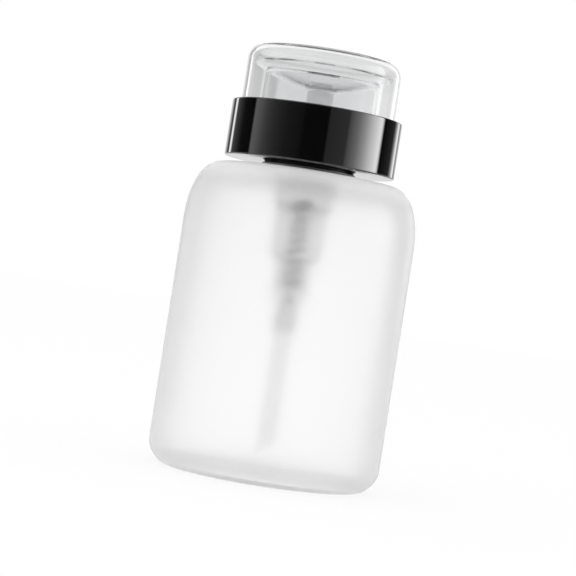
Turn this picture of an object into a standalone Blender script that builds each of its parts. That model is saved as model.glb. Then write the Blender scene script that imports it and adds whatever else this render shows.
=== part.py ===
# Push-down pump dispenser bottle: a frosted bottle, a black two-piece screw collar, a clear
# dish that is pressed to pump liquid up through its middle, and a clear pull-off overcap.
# Metres, +Z up. The origin is the middle of the base, where the bottle stands.

import math

import bmesh
import bpy
from mathutils import Matrix, Vector

COLLECTION_NAME = "pump_dispenser_bottle"
HELPERS_NAME = "helpers"

# Air between pieces that seat on, slide in or turn in each other
FIT_GAP = 0.0003
# How far a cutter runs past the face that it cuts, and a joined shape into its wall
OVERRUN = 0.0004
MERGE_DISTANCE = 0.00001

# Round pieces: facets around the axis
LARGE_FACETS = 40
MIDDLE_FACETS = 28
SMALL_FACETS = 20

# Bottle body
BOTTLE_DIAMETER = 0.0650
SHOULDER_HEIGHT = 0.0853
BOTTLE_WALL = 0.0011
BOTTLE_FLOOR = 0.0016
SHOULDER_REACH = 0.0087
SHOULDER_DROP = 0.0171
SHOULDER_POWER = 2.17
SHOULDER_STEPS = 8
HEEL_REACH = 0.0050
HEEL_RISE = 0.0062
HEEL_POWER = 1.66
HEEL_STEPS = 5
STANDING_RING_WIDTH = 0.0032
PUSH_UP = 0.0016
PUSH_UP_STEPS = 2

# Bottle neck and its thread
NECK_BORE_RADIUS = 0.0084
NECK_WALL = 0.0014
NECK_HEIGHT = 0.0100
NECK_FILLET = 0.0010
NECK_LIP_ROUND = 0.0003
THREAD_DEPTH = 0.0010
THREAD_LEAD = 0.003175
THREAD_TURNS = 1.25
THREAD_ROOT_WIDTH = 0.0015
THREAD_CREST_WIDTH = 0.0007
THREAD_START_HEIGHT = 0.0036
THREAD_FACETS = 20

# Neck gasket, a flat washer between the pump and the neck
GASKET_THICKNESS = 0.0010
GASKET_INSET = 0.0001

# Pump housing: flange, wide bore for the piston, two narrower chambers, and the tube socket
HOUSING_WALL = 0.0012
HOUSING_FLANGE_THICKNESS = 0.0010
HOUSING_BORE_RADIUS = 0.0069
MIDDLE_CHAMBER_RADIUS = 0.0057
MIDDLE_CHAMBER_LENGTH = 0.0143
CONE_LENGTH = 0.0019
LOWER_CHAMBER_RADIUS = 0.0037
LOWER_CHAMBER_LENGTH = 0.0079
SOCKET_WALL = 0.0006
SOCKET_DEPTH = 0.0065
SOCKET_CONE_LENGTH = 0.0015
INLET_HOLE_RADIUS = 0.0012
INLET_HOLE_LENGTH = 0.0006
VENT_RADIUS = 0.0005
VENT_DROP = 0.0035

# Inlet valve: a steel ball on a conical seat, held in by a cage ring
INLET_BALL_RADIUS = 0.0019
INLET_BALL_SIDE_GAP = 0.0004
INLET_BALL_LIFT = 0.0006
CAGE_THICKNESS = 0.0008
CAGE_HOLE_RADIUS = 0.0013
CAGE_NOTCH_COUNT = 3
CAGE_NOTCH_WIDTH = 0.0009
CAGE_NOTCH_DEPTH = 0.0011

# Dip tube
TUBE_RADIUS = 0.00225
TUBE_WALL = 0.0007
TUBE_FLOOR_CLEARANCE = 0.0037
TUBE_CUT_ANGLE = math.radians(35)

# Stem guide, clamped between the housing flange and the screw cap
GUIDE_FLANGE_THICKNESS = 0.0008
GUIDE_FLANGE_INSET = 0.0003
GUIDE_SLEEVE_LENGTH = 0.0108
GUIDE_NOSE_WALL = 0.0007
GUIDE_NOSE_RISE = 0.0008

# Plunger: piston seal, hollow piston rod and its spring
PRESS_STROKE = 0.0050
STROKE_RESERVE = 0.0007
PISTON_HEIGHT = 0.0050
PISTON_WAIST_DEPTH = 0.0009
PISTON_LIP_HEIGHT = 0.0010
PISTON_SHELF = 0.0012
ROD_RADIUS = 0.0026
ROD_BORE_RADIUS = 0.0008
ROD_FLANGE_REACH = 0.0021
ROD_FLANGE_THICKNESS = 0.0012
ROD_BOSS_REACH = 0.0008
ROD_BOSS_LENGTH = 0.0026
ROD_PILOT_LENGTH = 0.0030
SPRING_WIRE_RADIUS = 0.00035
SPRING_MEAN_RADIUS = 0.00272
SPRING_TURNS = 9
SPRING_CLOSED_TURNS = 1
SPRING_CLOSED_PITCH = 0.00115
SPRING_POINTS_PER_TURN = 10

# Outlet valve: a small steel ball near the top of the rod
OUTLET_BALL_RADIUS = 0.0013
OUTLET_BALL_SIDE_GAP = 0.0004
OUTLET_BALL_LIFT = 0.0008
OUTLET_SEAT_DEPTH = 0.0048

# Screw cap: threaded skirt and top panel
CAP_WALL = 0.00125
CAP_PANEL_THICKNESS = 0.0013
CAP_SKIRT_CLEARANCE = 0.00045
CAP_TOP_ROUND = 0.0005
CAP_BEAD_REACH = 0.0008
CAP_BEAD_HEIGHT = 0.0010
CAP_BEAD_CREST = 0.0003
KEY_COUNT = 6
KEY_WIDTH = 0.0014
KEY_HEIGHT = 0.0006
KEY_LENGTH = 0.0090
KEY_TOP_DROP = 0.0012

# Outer collar: a black ring with a floor, and a tower that snaps over the screw cap
COLLAR_WALL = 0.00204
COLLAR_HEIGHT = 0.0157
COLLAR_CLEARANCE = 0.00201
COLLAR_FLOOR = 0.0014
COLLAR_EDGE_ROUND = 0.00035
TOWER_WALL = 0.0012
TOWER_SNAP_THICKNESS = 0.0008
TOWER_SNAP_REACH = 0.0010
LEDGE_DROP = 0.0090
LEDGE_THICKNESS = 0.0012
LEDGE_REACH = 0.0012

# Press dish: a shallow bowl with a rim, a skirt, and a hub tube over the piston rod
DISH_RADIUS = 0.0195
DISH_WALL = 0.0012
DISH_CLEARANCE = 0.0023
BOWL_SPHERE_RADIUS = 0.0390
BOWL_STEPS = 5
DISH_RIM_WIDTH = 0.0011
DISH_RIM_HEIGHT = 0.0011
DISH_SKIRT_RADIUS = 0.0161
DISH_SKIRT_WALL = 0.0010
DISH_SKIRT_LENGTH = 0.0148
HUB_WALL = 0.0008
HUB_LENGTH = 0.0175
NOZZLE_HOLE_RADIUS = 0.0016
DISH_SIDE_CLEARANCE = 0.0008
DISH_HEADROOM = 0.0029

# Nozzle insert: the small button in the middle of the dish
NOZZLE_FLANGE_REACH = 0.0014
NOZZLE_FLANGE_THICKNESS = 0.0008
NOZZLE_FLANGE_LIFT = 0.0001
NOZZLE_ROUND = 0.0003
NOZZLE_BORE_RADIUS = 0.0005
NOZZLE_SLOT_COUNT = 2
NOZZLE_SLOT_WIDTH = 0.0006
NOZZLE_SLOT_DEPTH = 0.0005

# Overcap: the clear dome
OVERCAP_WALL = 0.0013
OVERCAP_TOP_WALL = 0.0012
OVERCAP_CORNER_REACH = 0.0034
OVERCAP_CORNER_DROP = 0.0039
OVERCAP_CORNER_STEPS = 4
OVERCAP_CROWN = 0.00015

# Radii that follow from the sizes above
BOTTLE_RADIUS = BOTTLE_DIAMETER / 2
NECK_RADIUS = NECK_BORE_RADIUS + NECK_WALL
HOUSING_RADIUS = HOUSING_BORE_RADIUS + HOUSING_WALL
PUMP_FLANGE_RADIUS = NECK_RADIUS - GASKET_INSET
HUB_RADIUS = ROD_RADIUS + FIT_GAP + HUB_WALL
GUIDE_BORE_RADIUS = HUB_RADIUS + FIT_GAP
GUIDE_NOSE_RADIUS = GUIDE_BORE_RADIUS + GUIDE_NOSE_WALL
GUIDE_SLEEVE_RADIUS = HOUSING_BORE_RADIUS - FIT_GAP
PISTON_RADIUS = HOUSING_BORE_RADIUS - FIT_GAP
PISTON_BORE_RADIUS = ROD_RADIUS + FIT_GAP
SOCKET_BORE_RADIUS = TUBE_RADIUS + FIT_GAP
SOCKET_RADIUS = SOCKET_BORE_RADIUS + SOCKET_WALL
INLET_CHAMBER_RADIUS = INLET_BALL_RADIUS + INLET_BALL_SIDE_GAP
OUTLET_CHAMBER_RADIUS = OUTLET_BALL_RADIUS + OUTLET_BALL_SIDE_GAP
CAP_BORE_RADIUS = NECK_RADIUS + THREAD_DEPTH + FIT_GAP
CAP_RADIUS = CAP_BORE_RADIUS + CAP_WALL
CAP_HOLE_RADIUS = GUIDE_NOSE_RADIUS + FIT_GAP
TOWER_BORE_RADIUS = CAP_RADIUS + FIT_GAP
TOWER_RADIUS = TOWER_BORE_RADIUS + TOWER_WALL
OVERCAP_BORE_RADIUS = DISH_RADIUS + DISH_SIDE_CLEARANCE
OVERCAP_RADIUS = OVERCAP_BORE_RADIUS + OVERCAP_WALL
COLLAR_BORE_RADIUS = OVERCAP_RADIUS + FIT_GAP
COLLAR_RADIUS = COLLAR_BORE_RADIUS + COLLAR_WALL
NOZZLE_SPIGOT_RADIUS = NOZZLE_HOLE_RADIUS - FIT_GAP
NOZZLE_RADIUS = NOZZLE_HOLE_RADIUS + NOZZLE_FLANGE_REACH

# Heights that follow, from the shoulder up to the overcap
NECK_TOP = SHOULDER_HEIGHT + NECK_HEIGHT
GASKET_BOTTOM = NECK_TOP + FIT_GAP
GASKET_TOP = GASKET_BOTTOM + GASKET_THICKNESS
HOUSING_FLANGE_BOTTOM = GASKET_TOP + FIT_GAP
HOUSING_TOP = HOUSING_FLANGE_BOTTOM + HOUSING_FLANGE_THICKNESS
GUIDE_FLANGE_BOTTOM = HOUSING_TOP + FIT_GAP
GUIDE_FLANGE_TOP = GUIDE_FLANGE_BOTTOM + GUIDE_FLANGE_THICKNESS
CAP_PANEL_BOTTOM = GUIDE_FLANGE_TOP + FIT_GAP
CAP_TOP = CAP_PANEL_BOTTOM + CAP_PANEL_THICKNESS
CAP_BOTTOM = SHOULDER_HEIGHT + CAP_SKIRT_CLEARANCE
GUIDE_NOSE_TOP = CAP_TOP + GUIDE_NOSE_RISE
COLLAR_BOTTOM = SHOULDER_HEIGHT + COLLAR_CLEARANCE
COLLAR_TOP = COLLAR_BOTTOM + COLLAR_HEIGHT
COLLAR_FLOOR_TOP = COLLAR_BOTTOM + COLLAR_FLOOR
TOWER_SNAP_BOTTOM = CAP_TOP + FIT_GAP
TOWER_TOP = TOWER_SNAP_BOTTOM + TOWER_SNAP_THICKNESS
LEDGE_TOP = COLLAR_TOP - LEDGE_DROP
DISH_BOTTOM = GUIDE_NOSE_TOP + PRESS_STROKE + DISH_CLEARANCE
BOWL_EDGE_RADIUS = DISH_RADIUS - DISH_RIM_WIDTH
BOWL_INNER_SPHERE_RADIUS = BOWL_SPHERE_RADIUS - DISH_WALL
BOWL_CENTRE = DISH_BOTTOM + BOWL_SPHERE_RADIUS
OVERCAP_BOTTOM = LEDGE_TOP + FIT_GAP


def bowl_height(radius, sphere_radius):
    """Height of the bowl's under or inner surface, each part of a sphere about one centre."""
    return BOWL_CENTRE - math.sqrt(sphere_radius**2 - radius**2)


DISH_RIM_BOTTOM = bowl_height(DISH_RADIUS, BOWL_SPHERE_RADIUS)
DISH_RIM_TOP = DISH_RIM_BOTTOM + DISH_RIM_HEIGHT
DISH_INNER_BOTTOM = DISH_BOTTOM + DISH_WALL
DISH_SKIRT_BOTTOM = bowl_height(DISH_SKIRT_RADIUS, BOWL_SPHERE_RADIUS) - DISH_SKIRT_LENGTH
OVERCAP_CEILING = DISH_RIM_TOP + DISH_HEADROOM
OVERCAP_TOP = OVERCAP_CEILING + OVERCAP_TOP_WALL

# Heights that follow, from the stem guide down to the dip tube
GUIDE_SLEEVE_BOTTOM = GUIDE_FLANGE_BOTTOM - GUIDE_SLEEVE_LENGTH
PISTON_TOP = GUIDE_SLEEVE_BOTTOM - FIT_GAP
PISTON_BOTTOM = PISTON_TOP - PISTON_HEIGHT
HOUSING_BORE_BOTTOM = PISTON_BOTTOM - PRESS_STROKE - STROKE_RESERVE
MIDDLE_CHAMBER_BOTTOM = HOUSING_BORE_BOTTOM - MIDDLE_CHAMBER_LENGTH
LOWER_CHAMBER_TOP = MIDDLE_CHAMBER_BOTTOM - CONE_LENGTH
LOWER_CHAMBER_BOTTOM = LOWER_CHAMBER_TOP - LOWER_CHAMBER_LENGTH
CAGE_BOTTOM = LOWER_CHAMBER_BOTTOM + FIT_GAP
CAGE_TOP = CAGE_BOTTOM + CAGE_THICKNESS
SPRING_BOTTOM = CAGE_TOP + FIT_GAP
ROD_FLANGE_TOP = PISTON_BOTTOM - FIT_GAP
ROD_FLANGE_BOTTOM = ROD_FLANGE_TOP - ROD_FLANGE_THICKNESS
ROD_BOSS_BOTTOM = ROD_FLANGE_BOTTOM - ROD_BOSS_LENGTH
ROD_BOTTOM = ROD_BOSS_BOTTOM - ROD_PILOT_LENGTH
ROD_PILOT_RADIUS = SPRING_MEAN_RADIUS - SPRING_WIRE_RADIUS - FIT_GAP
SPRING_TOP = ROD_BOSS_BOTTOM - FIT_GAP
ROD_TOP = DISH_BOTTOM - FIT_GAP
HUB_BOTTOM = DISH_BOTTOM - HUB_LENGTH
OUTLET_SEAT_BOTTOM = ROD_TOP - OUTLET_SEAT_DEPTH

# A ball on a 45 degree seat stands this far above the seat's lower edge, with the gap under it
ROOT_TWO = math.sqrt(2)
OUTLET_BALL_HEIGHT = OUTLET_SEAT_BOTTOM + (OUTLET_BALL_RADIUS + FIT_GAP) * ROOT_TWO - ROD_BORE_RADIUS
INLET_BALL_HEIGHT = CAGE_BOTTOM - FIT_GAP - INLET_BALL_LIFT - INLET_BALL_RADIUS
INLET_SEAT_BOTTOM = INLET_BALL_HEIGHT - (INLET_BALL_RADIUS + FIT_GAP) * ROOT_TWO + INLET_HOLE_RADIUS
INLET_SEAT_TOP = INLET_SEAT_BOTTOM + INLET_CHAMBER_RADIUS - INLET_HOLE_RADIUS
SOCKET_TOP = INLET_SEAT_BOTTOM - INLET_HOLE_LENGTH
SOCKET_BOTTOM = SOCKET_TOP - SOCKET_DEPTH
TUBE_TOP = SOCKET_TOP - FIT_GAP
TUBE_BOTTOM = PUSH_UP + BOTTLE_FLOOR + TUBE_FLOOR_CLEARANCE

# Colour, roughness, metallic value, alpha
FINISHES = {
    "frosted": ((0.93, 0.94, 0.95), 0.45, 0.0, 0.55),
    "clear": ((0.94, 0.95, 0.96), 0.05, 0.0, 0.30),
    "black": ((0.012, 0.012, 0.013), 0.08, 0.0, 1.0),
    "natural": ((0.86, 0.87, 0.87), 0.35, 0.0, 0.80),
    "foam": ((0.90, 0.90, 0.88), 0.70, 0.0, 1.0),
    "steel": ((0.58, 0.59, 0.60), 0.25, 1.0, 1.0),
}


def start_collections():
    """Clears the scene and makes one collection for the parts and one for the helpers."""
    for obj in list(bpy.data.objects):
        bpy.data.objects.remove(obj)
    found = {}
    for name in (COLLECTION_NAME, HELPERS_NAME):
        found[name] = bpy.data.collections.new(name)
        bpy.context.scene.collection.children.link(found[name])
    return found


def make_material(name):
    colour, roughness, metallic, alpha = FINISHES[name]
    material = bpy.data.materials.new(name)
    material.use_nodes = True
    shader = material.node_tree.nodes["Principled BSDF"]
    shader.inputs["Base Color"].default_value = (*colour, 1)
    shader.inputs["Roughness"].default_value = roughness
    shader.inputs["Metallic"].default_value = metallic
    shader.inputs["Alpha"].default_value = alpha
    return material


def link(obj, finish=None):
    """Puts a piece in the parts collection with its material, or a helper in the other one."""
    if finish is None:
        COLLECTIONS[HELPERS_NAME].objects.link(obj)
        obj.hide_render = True
        obj.display_type = "WIRE"
    else:
        COLLECTIONS[COLLECTION_NAME].objects.link(obj)
        obj.data.materials.append(MATERIALS[finish])
    return obj


def ellipse_arc(centre, reaches, start_degrees, end_degrees, steps, power=2.0):
    """Points (radius, height) along part of an ellipse, or of a squarer curve of a higher power."""
    points = []
    for step in range(steps + 1):
        angle = math.radians(start_degrees + (end_degrees - start_degrees) * step / steps)
        cos, sin = math.cos(angle), math.sin(angle)
        points.append(
            (
                centre[0] + reaches[0] * math.copysign(abs(cos) ** (2 / power), cos),
                centre[1] + reaches[1] * math.copysign(abs(sin) ** (2 / power), sin),
            )
        )
    return points


def turned(name, outline, finish, facets, closed=True):
    """A solid of revolution about Z. The outline runs down the outer side and up the inner one;
    an open outline begins and ends on the axis."""
    mesh = bpy.data.meshes.new(name)
    count = len(outline)
    edges = [(i, (i + 1) % count) for i in range(count if closed else count - 1)]
    mesh.from_pydata([(radius, 0, height) for radius, height in outline], edges, [])
    obj = link(bpy.data.objects.new(name, mesh), finish)
    screw = obj.modifiers.new("turn", "SCREW")
    screw.axis = "Z"
    screw.steps = facets
    screw.render_steps = facets
    screw.use_merge_vertices = True
    screw.merge_threshold = MERGE_DISTANCE
    screw.use_smooth_shade = True
    return obj


def boolean(obj, helper, operation):
    modifier = obj.modifiers.new(operation.lower(), "BOOLEAN")
    modifier.operation = operation
    modifier.object = helper
    return modifier


def mesh_helper(name, build):
    """A hidden helper object whose mesh the function `build` makes in a bmesh."""
    bm = bmesh.new()
    build(bm)
    bmesh.ops.recalc_face_normals(bm, faces=bm.faces)
    mesh = bpy.data.meshes.new(name)
    bm.to_mesh(mesh)
    bm.free()
    return link(bpy.data.objects.new(name, mesh))


def thread_helper(name, root_radius, crest_radius, start_height):
    """A ridge of trapezoid section, swept up a right-hand helix and closed at both ends."""
    steps = round(THREAD_TURNS * THREAD_FACETS)
    section = [
        (root_radius, -THREAD_ROOT_WIDTH / 2),
        (crest_radius, -THREAD_CREST_WIDTH / 2),
        (crest_radius, THREAD_CREST_WIDTH / 2),
        (root_radius, THREAD_ROOT_WIDTH / 2),
    ]

    def build(bm):
        # Turned by half of one facet of the wall, so that no edges of the two coincide
        turn = Matrix.Rotation(math.pi / LARGE_FACETS, 3, "Z")
        ring = [
            bm.verts.new(turn @ Vector((radius, 0, start_height + height)))
            for radius, height in section
        ]
        edges = [bm.edges.new((ring[i - 1], ring[i])) for i in range(len(ring))]
        bmesh.ops.spin(
            bm,
            geom=ring + edges,
            cent=(0, 0, 0),
            axis=(0, 0, 1),
            dvec=(0, 0, THREAD_LEAD * THREAD_TURNS / steps),
            angle=math.tau * THREAD_TURNS,
            steps=steps,
        )
        bmesh.ops.holes_fill(bm, edges=[edge for edge in bm.edges if edge.is_boundary])

    return mesh_helper(name, build)


def blocks_helper(name, count, width, inner_radius, outer_radius, bottom, top):
    """Blocks evenly around the axis: keys to join to a piece, or slots and notches to cut."""

    def build(bm):
        for index in range(count):
            size = Matrix.Diagonal((outer_radius - inner_radius, width, top - bottom, 1))
            middle = Vector(((inner_radius + outer_radius) / 2, 0, (bottom + top) / 2))
            turn = Matrix.Rotation(math.tau * index / count, 4, "Z")
            bmesh.ops.create_cube(bm, size=1, matrix=turn @ Matrix.Translation(middle) @ size)

    return mesh_helper(name, build)


def shoulder_curve(inset):
    """The shoulder from its flat top out to the wall, moved in by `inset`."""
    return ellipse_arc(
        (BOTTLE_RADIUS - SHOULDER_REACH, SHOULDER_HEIGHT - SHOULDER_DROP),
        (SHOULDER_REACH - inset, SHOULDER_DROP - inset),
        90,
        0,
        SHOULDER_STEPS,
        SHOULDER_POWER,
    )


def heel_curve(inset, floor):
    """The rounded heel from the wall in to the base, moved in by `inset` and up to `floor`."""
    return ellipse_arc(
        (BOTTLE_RADIUS - HEEL_REACH, HEEL_RISE),
        (HEEL_REACH - inset, HEEL_RISE - floor),
        0,
        -90,
        HEEL_STEPS,
        HEEL_POWER,
    )


def push_up_curve(floor):
    """The hollow under the base, from the standing ring in to the axis, raised by `floor`."""
    ring_inner_radius = BOTTLE_RADIUS - HEEL_REACH - STANDING_RING_WIDTH
    points = []
    for step in range(PUSH_UP_STEPS + 1):
        share = 1 - step / PUSH_UP_STEPS
        points.append((ring_inner_radius * share, floor + PUSH_UP * (1 - share**2)))
    return points


def make_bottle():
    neck_root = SHOULDER_HEIGHT + NECK_FILLET
    inner = list(reversed(push_up_curve(BOTTLE_FLOOR)))
    inner += list(reversed(heel_curve(BOTTLE_WALL, BOTTLE_FLOOR)))
    inner += list(reversed(shoulder_curve(BOTTLE_WALL)))
    inner.append((NECK_BORE_RADIUS, SHOULDER_HEIGHT - BOTTLE_WALL))
    lip = [
        (NECK_BORE_RADIUS, NECK_TOP),
        (NECK_RADIUS - NECK_LIP_ROUND, NECK_TOP),
        (NECK_RADIUS, NECK_TOP - NECK_LIP_ROUND),
    ]
    root = ellipse_arc(
        (NECK_RADIUS + NECK_FILLET, neck_root), (NECK_FILLET, NECK_FILLET), 180, 270, 2
    )
    outer = shoulder_curve(0) + heel_curve(0, 0) + push_up_curve(0)
    bottle = turned("bottle", inner + lip + root + outer, "frosted", LARGE_FACETS, closed=False)
    thread = thread_helper(
        "neck_thread",
        NECK_RADIUS - OVERRUN,
        NECK_RADIUS + THREAD_DEPTH,
        SHOULDER_HEIGHT + THREAD_START_HEIGHT,
    )
    boolean(bottle, thread, "UNION")


def make_neck_gasket():
    outline = [
        (PUMP_FLANGE_RADIUS, GASKET_TOP),
        (PUMP_FLANGE_RADIUS, GASKET_BOTTOM),
        (HOUSING_RADIUS + FIT_GAP, GASKET_BOTTOM),
        (HOUSING_RADIUS + FIT_GAP, GASKET_TOP),
    ]
    turned("neck_gasket", outline, "foam", MIDDLE_FACETS)


def make_pump_housing():
    middle_radius = MIDDLE_CHAMBER_RADIUS + HOUSING_WALL
    lower_radius = LOWER_CHAMBER_RADIUS + HOUSING_WALL
    floor_bottom = INLET_SEAT_TOP + HOUSING_WALL
    outline = [
        (PUMP_FLANGE_RADIUS, HOUSING_TOP),
        (PUMP_FLANGE_RADIUS, HOUSING_FLANGE_BOTTOM),
        (HOUSING_RADIUS, HOUSING_FLANGE_BOTTOM),
        (HOUSING_RADIUS, HOUSING_BORE_BOTTOM),
        (middle_radius, HOUSING_BORE_BOTTOM - HOUSING_WALL),
        (middle_radius, MIDDLE_CHAMBER_BOTTOM),
        (lower_radius, LOWER_CHAMBER_TOP),
        (lower_radius, floor_bottom),
        (SOCKET_RADIUS, floor_bottom - SOCKET_CONE_LENGTH),
        (SOCKET_RADIUS, SOCKET_BOTTOM),
        (SOCKET_BORE_RADIUS, SOCKET_BOTTOM),
        (SOCKET_BORE_RADIUS, SOCKET_TOP),
        (INLET_HOLE_RADIUS, SOCKET_TOP),
        (INLET_HOLE_RADIUS, INLET_SEAT_BOTTOM),
        (INLET_CHAMBER_RADIUS, INLET_SEAT_TOP),
        (INLET_CHAMBER_RADIUS, LOWER_CHAMBER_BOTTOM),
        (LOWER_CHAMBER_RADIUS, LOWER_CHAMBER_BOTTOM),
        (LOWER_CHAMBER_RADIUS, LOWER_CHAMBER_TOP),
        (MIDDLE_CHAMBER_RADIUS, MIDDLE_CHAMBER_BOTTOM),
        (MIDDLE_CHAMBER_RADIUS, HOUSING_BORE_BOTTOM),
        (HOUSING_BORE_RADIUS, HOUSING_BORE_BOTTOM),
        (HOUSING_BORE_RADIUS, HOUSING_TOP),
    ]
    housing = turned("pump_housing", outline, "natural", MIDDLE_FACETS)

    def build(bm):
        middle = Vector((HOUSING_RADIUS - HOUSING_WALL / 2, 0, HOUSING_FLANGE_BOTTOM - VENT_DROP))
        bmesh.ops.create_cone(
            bm,
            cap_ends=True,
            segments=SMALL_FACETS // 2,
            radius1=VENT_RADIUS,
            radius2=VENT_RADIUS,
            depth=HOUSING_WALL + 2 * OVERRUN,
            matrix=Matrix.Translation(middle) @ Matrix.Rotation(math.pi / 2, 4, "Y"),
        )

    boolean(housing, mesh_helper("air_vent_cut", build), "DIFFERENCE")


def make_inlet_ball_cage():
    outline = [
        (LOWER_CHAMBER_RADIUS - FIT_GAP, CAGE_TOP),
        (LOWER_CHAMBER_RADIUS - FIT_GAP, CAGE_BOTTOM),
        (CAGE_HOLE_RADIUS, CAGE_BOTTOM),
        (CAGE_HOLE_RADIUS, CAGE_TOP),
    ]
    cage = turned("inlet_ball_cage", outline, "natural", SMALL_FACETS)
    # Notches in its hole let the liquid past the ball when the ball is up against it
    notches = blocks_helper(
        "cage_notches",
        CAGE_NOTCH_COUNT,
        CAGE_NOTCH_WIDTH,
        CAGE_HOLE_RADIUS - OVERRUN,
        CAGE_HOLE_RADIUS + CAGE_NOTCH_DEPTH,
        CAGE_BOTTOM - OVERRUN,
        CAGE_TOP + OVERRUN,
    )
    boolean(cage, notches, "DIFFERENCE")


def make_ball(name, radius, height):
    mesh = bpy.data.meshes.new(name)
    bm = bmesh.new()
    bmesh.ops.create_uvsphere(
        bm, u_segments=SMALL_FACETS // 2, v_segments=SMALL_FACETS // 3, radius=radius
    )
    bm.to_mesh(mesh)
    bm.free()
    mesh.shade_smooth()
    ball = link(bpy.data.objects.new(name, mesh), "steel")
    ball.location = (0, 0, height)


def make_dip_tube():
    outline = [
        (TUBE_RADIUS, TUBE_TOP),
        (TUBE_RADIUS, TUBE_BOTTOM),
        (TUBE_RADIUS - TUBE_WALL, TUBE_BOTTOM),
        (TUBE_RADIUS - TUBE_WALL, TUBE_TOP),
    ]
    tube = turned("dip_tube", outline, "natural", SMALL_FACETS)

    def build(bm):
        # A block whose upper face is the slanting cut, lowest at the tube's -X side
        side = 4 * TUBE_RADIUS
        tilt = Matrix.Rotation(-TUBE_CUT_ANGLE, 4, "Y")
        low_corner = Vector((-TUBE_RADIUS, 0, TUBE_BOTTOM))
        drop = Matrix.Translation((0, 0, -side / 2))
        size = Matrix.Scale(side, 4)
        bmesh.ops.create_cube(
            bm, size=1, matrix=Matrix.Translation(low_corner) @ tilt @ drop @ size
        )

    boolean(tube, mesh_helper("tube_end_cut", build), "DIFFERENCE")


def make_stem_guide():
    flange_radius = PUMP_FLANGE_RADIUS - GUIDE_FLANGE_INSET
    outline = [
        (GUIDE_NOSE_RADIUS, GUIDE_NOSE_TOP),
        (GUIDE_NOSE_RADIUS, GUIDE_FLANGE_TOP),
        (flange_radius, GUIDE_FLANGE_TOP),
        (flange_radius, GUIDE_FLANGE_BOTTOM),
        (GUIDE_SLEEVE_RADIUS, GUIDE_FLANGE_BOTTOM),
        (GUIDE_SLEEVE_RADIUS, GUIDE_SLEEVE_BOTTOM),
        (GUIDE_BORE_RADIUS, GUIDE_SLEEVE_BOTTOM),
        (GUIDE_BORE_RADIUS, GUIDE_NOSE_TOP),
    ]
    turned("stem_guide", outline, "natural", MIDDLE_FACETS)


def make_piston_seal():
    """A soft ring with a sealing lip at each end, thinner at its waist and in its ends."""
    waist_radius = PISTON_RADIUS - PISTON_WAIST_DEPTH
    core_radius = PISTON_BORE_RADIUS + PISTON_SHELF
    outline = [
        (core_radius, PISTON_TOP - PISTON_LIP_HEIGHT),
        (waist_radius, PISTON_TOP - PISTON_LIP_HEIGHT),
        (PISTON_RADIUS, PISTON_TOP),
        (PISTON_RADIUS, PISTON_TOP - PISTON_LIP_HEIGHT),
        (waist_radius, PISTON_TOP - 2 * PISTON_LIP_HEIGHT),
        (waist_radius, PISTON_BOTTOM + 2 * PISTON_LIP_HEIGHT),
        (PISTON_RADIUS, PISTON_BOTTOM + PISTON_LIP_HEIGHT),
        (PISTON_RADIUS, PISTON_BOTTOM),
        (waist_radius, PISTON_BOTTOM + PISTON_LIP_HEIGHT),
        (core_radius, PISTON_BOTTOM + PISTON_LIP_HEIGHT),
        (core_radius, PISTON_BOTTOM),
        (PISTON_BORE_RADIUS, PISTON_BOTTOM),
        (PISTON_BORE_RADIUS, PISTON_TOP),
        (core_radius, PISTON_TOP),
    ]
    turned("piston_seal", outline, "foam", MIDDLE_FACETS)


def make_piston_rod():
    outline = [
        (ROD_RADIUS, ROD_TOP),
        (ROD_RADIUS, ROD_FLANGE_TOP),
        (ROD_RADIUS + ROD_FLANGE_REACH, ROD_FLANGE_TOP),
        (ROD_RADIUS + ROD_FLANGE_REACH, ROD_FLANGE_BOTTOM),
        (ROD_RADIUS + ROD_BOSS_REACH, ROD_FLANGE_BOTTOM),
        (ROD_RADIUS + ROD_BOSS_REACH, ROD_BOSS_BOTTOM),
        (ROD_PILOT_RADIUS, ROD_BOSS_BOTTOM),
        (ROD_PILOT_RADIUS, ROD_BOTTOM),
        (ROD_BORE_RADIUS, ROD_BOTTOM),
        (ROD_BORE_RADIUS, OUTLET_SEAT_BOTTOM),
        (OUTLET_CHAMBER_RADIUS, OUTLET_SEAT_BOTTOM + OUTLET_CHAMBER_RADIUS - ROD_BORE_RADIUS),
        (OUTLET_CHAMBER_RADIUS, ROD_TOP),
    ]
    turned("piston_rod", outline, "natural", SMALL_FACETS)


def spring_points():
    """The wire's centreline: close turns at each end and even open turns between them."""
    open_turns = SPRING_TURNS - 2 * SPRING_CLOSED_TURNS
    height = SPRING_TOP - SPRING_BOTTOM - 2 * SPRING_WIRE_RADIUS
    open_pitch = (height - 2 * SPRING_CLOSED_TURNS * SPRING_CLOSED_PITCH) / open_turns
    points = []
    for step in range(SPRING_TURNS * SPRING_POINTS_PER_TURN + 1):
        turn = step / SPRING_POINTS_PER_TURN
        first = min(turn, SPRING_CLOSED_TURNS)
        last = max(turn - SPRING_CLOSED_TURNS - open_turns, 0)
        rise = (first + last) * SPRING_CLOSED_PITCH + (turn - first - last) * open_pitch
        angle = math.tau * turn
        points.append(
            Vector(
                (
                    SPRING_MEAN_RADIUS * math.cos(angle),
                    SPRING_MEAN_RADIUS * math.sin(angle),
                    SPRING_BOTTOM + SPRING_WIRE_RADIUS + rise,
                )
            )
        )
    return points


def least_gap(points):
    """The least air between two turns of the wire, measured between points half a turn apart or more."""
    half_turn = SPRING_POINTS_PER_TURN // 2
    distances = [
        (a - b).length for i, a in enumerate(points) for b in points[i + half_turn :]
    ]
    return min(distances) - 2 * SPRING_WIRE_RADIUS


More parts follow.
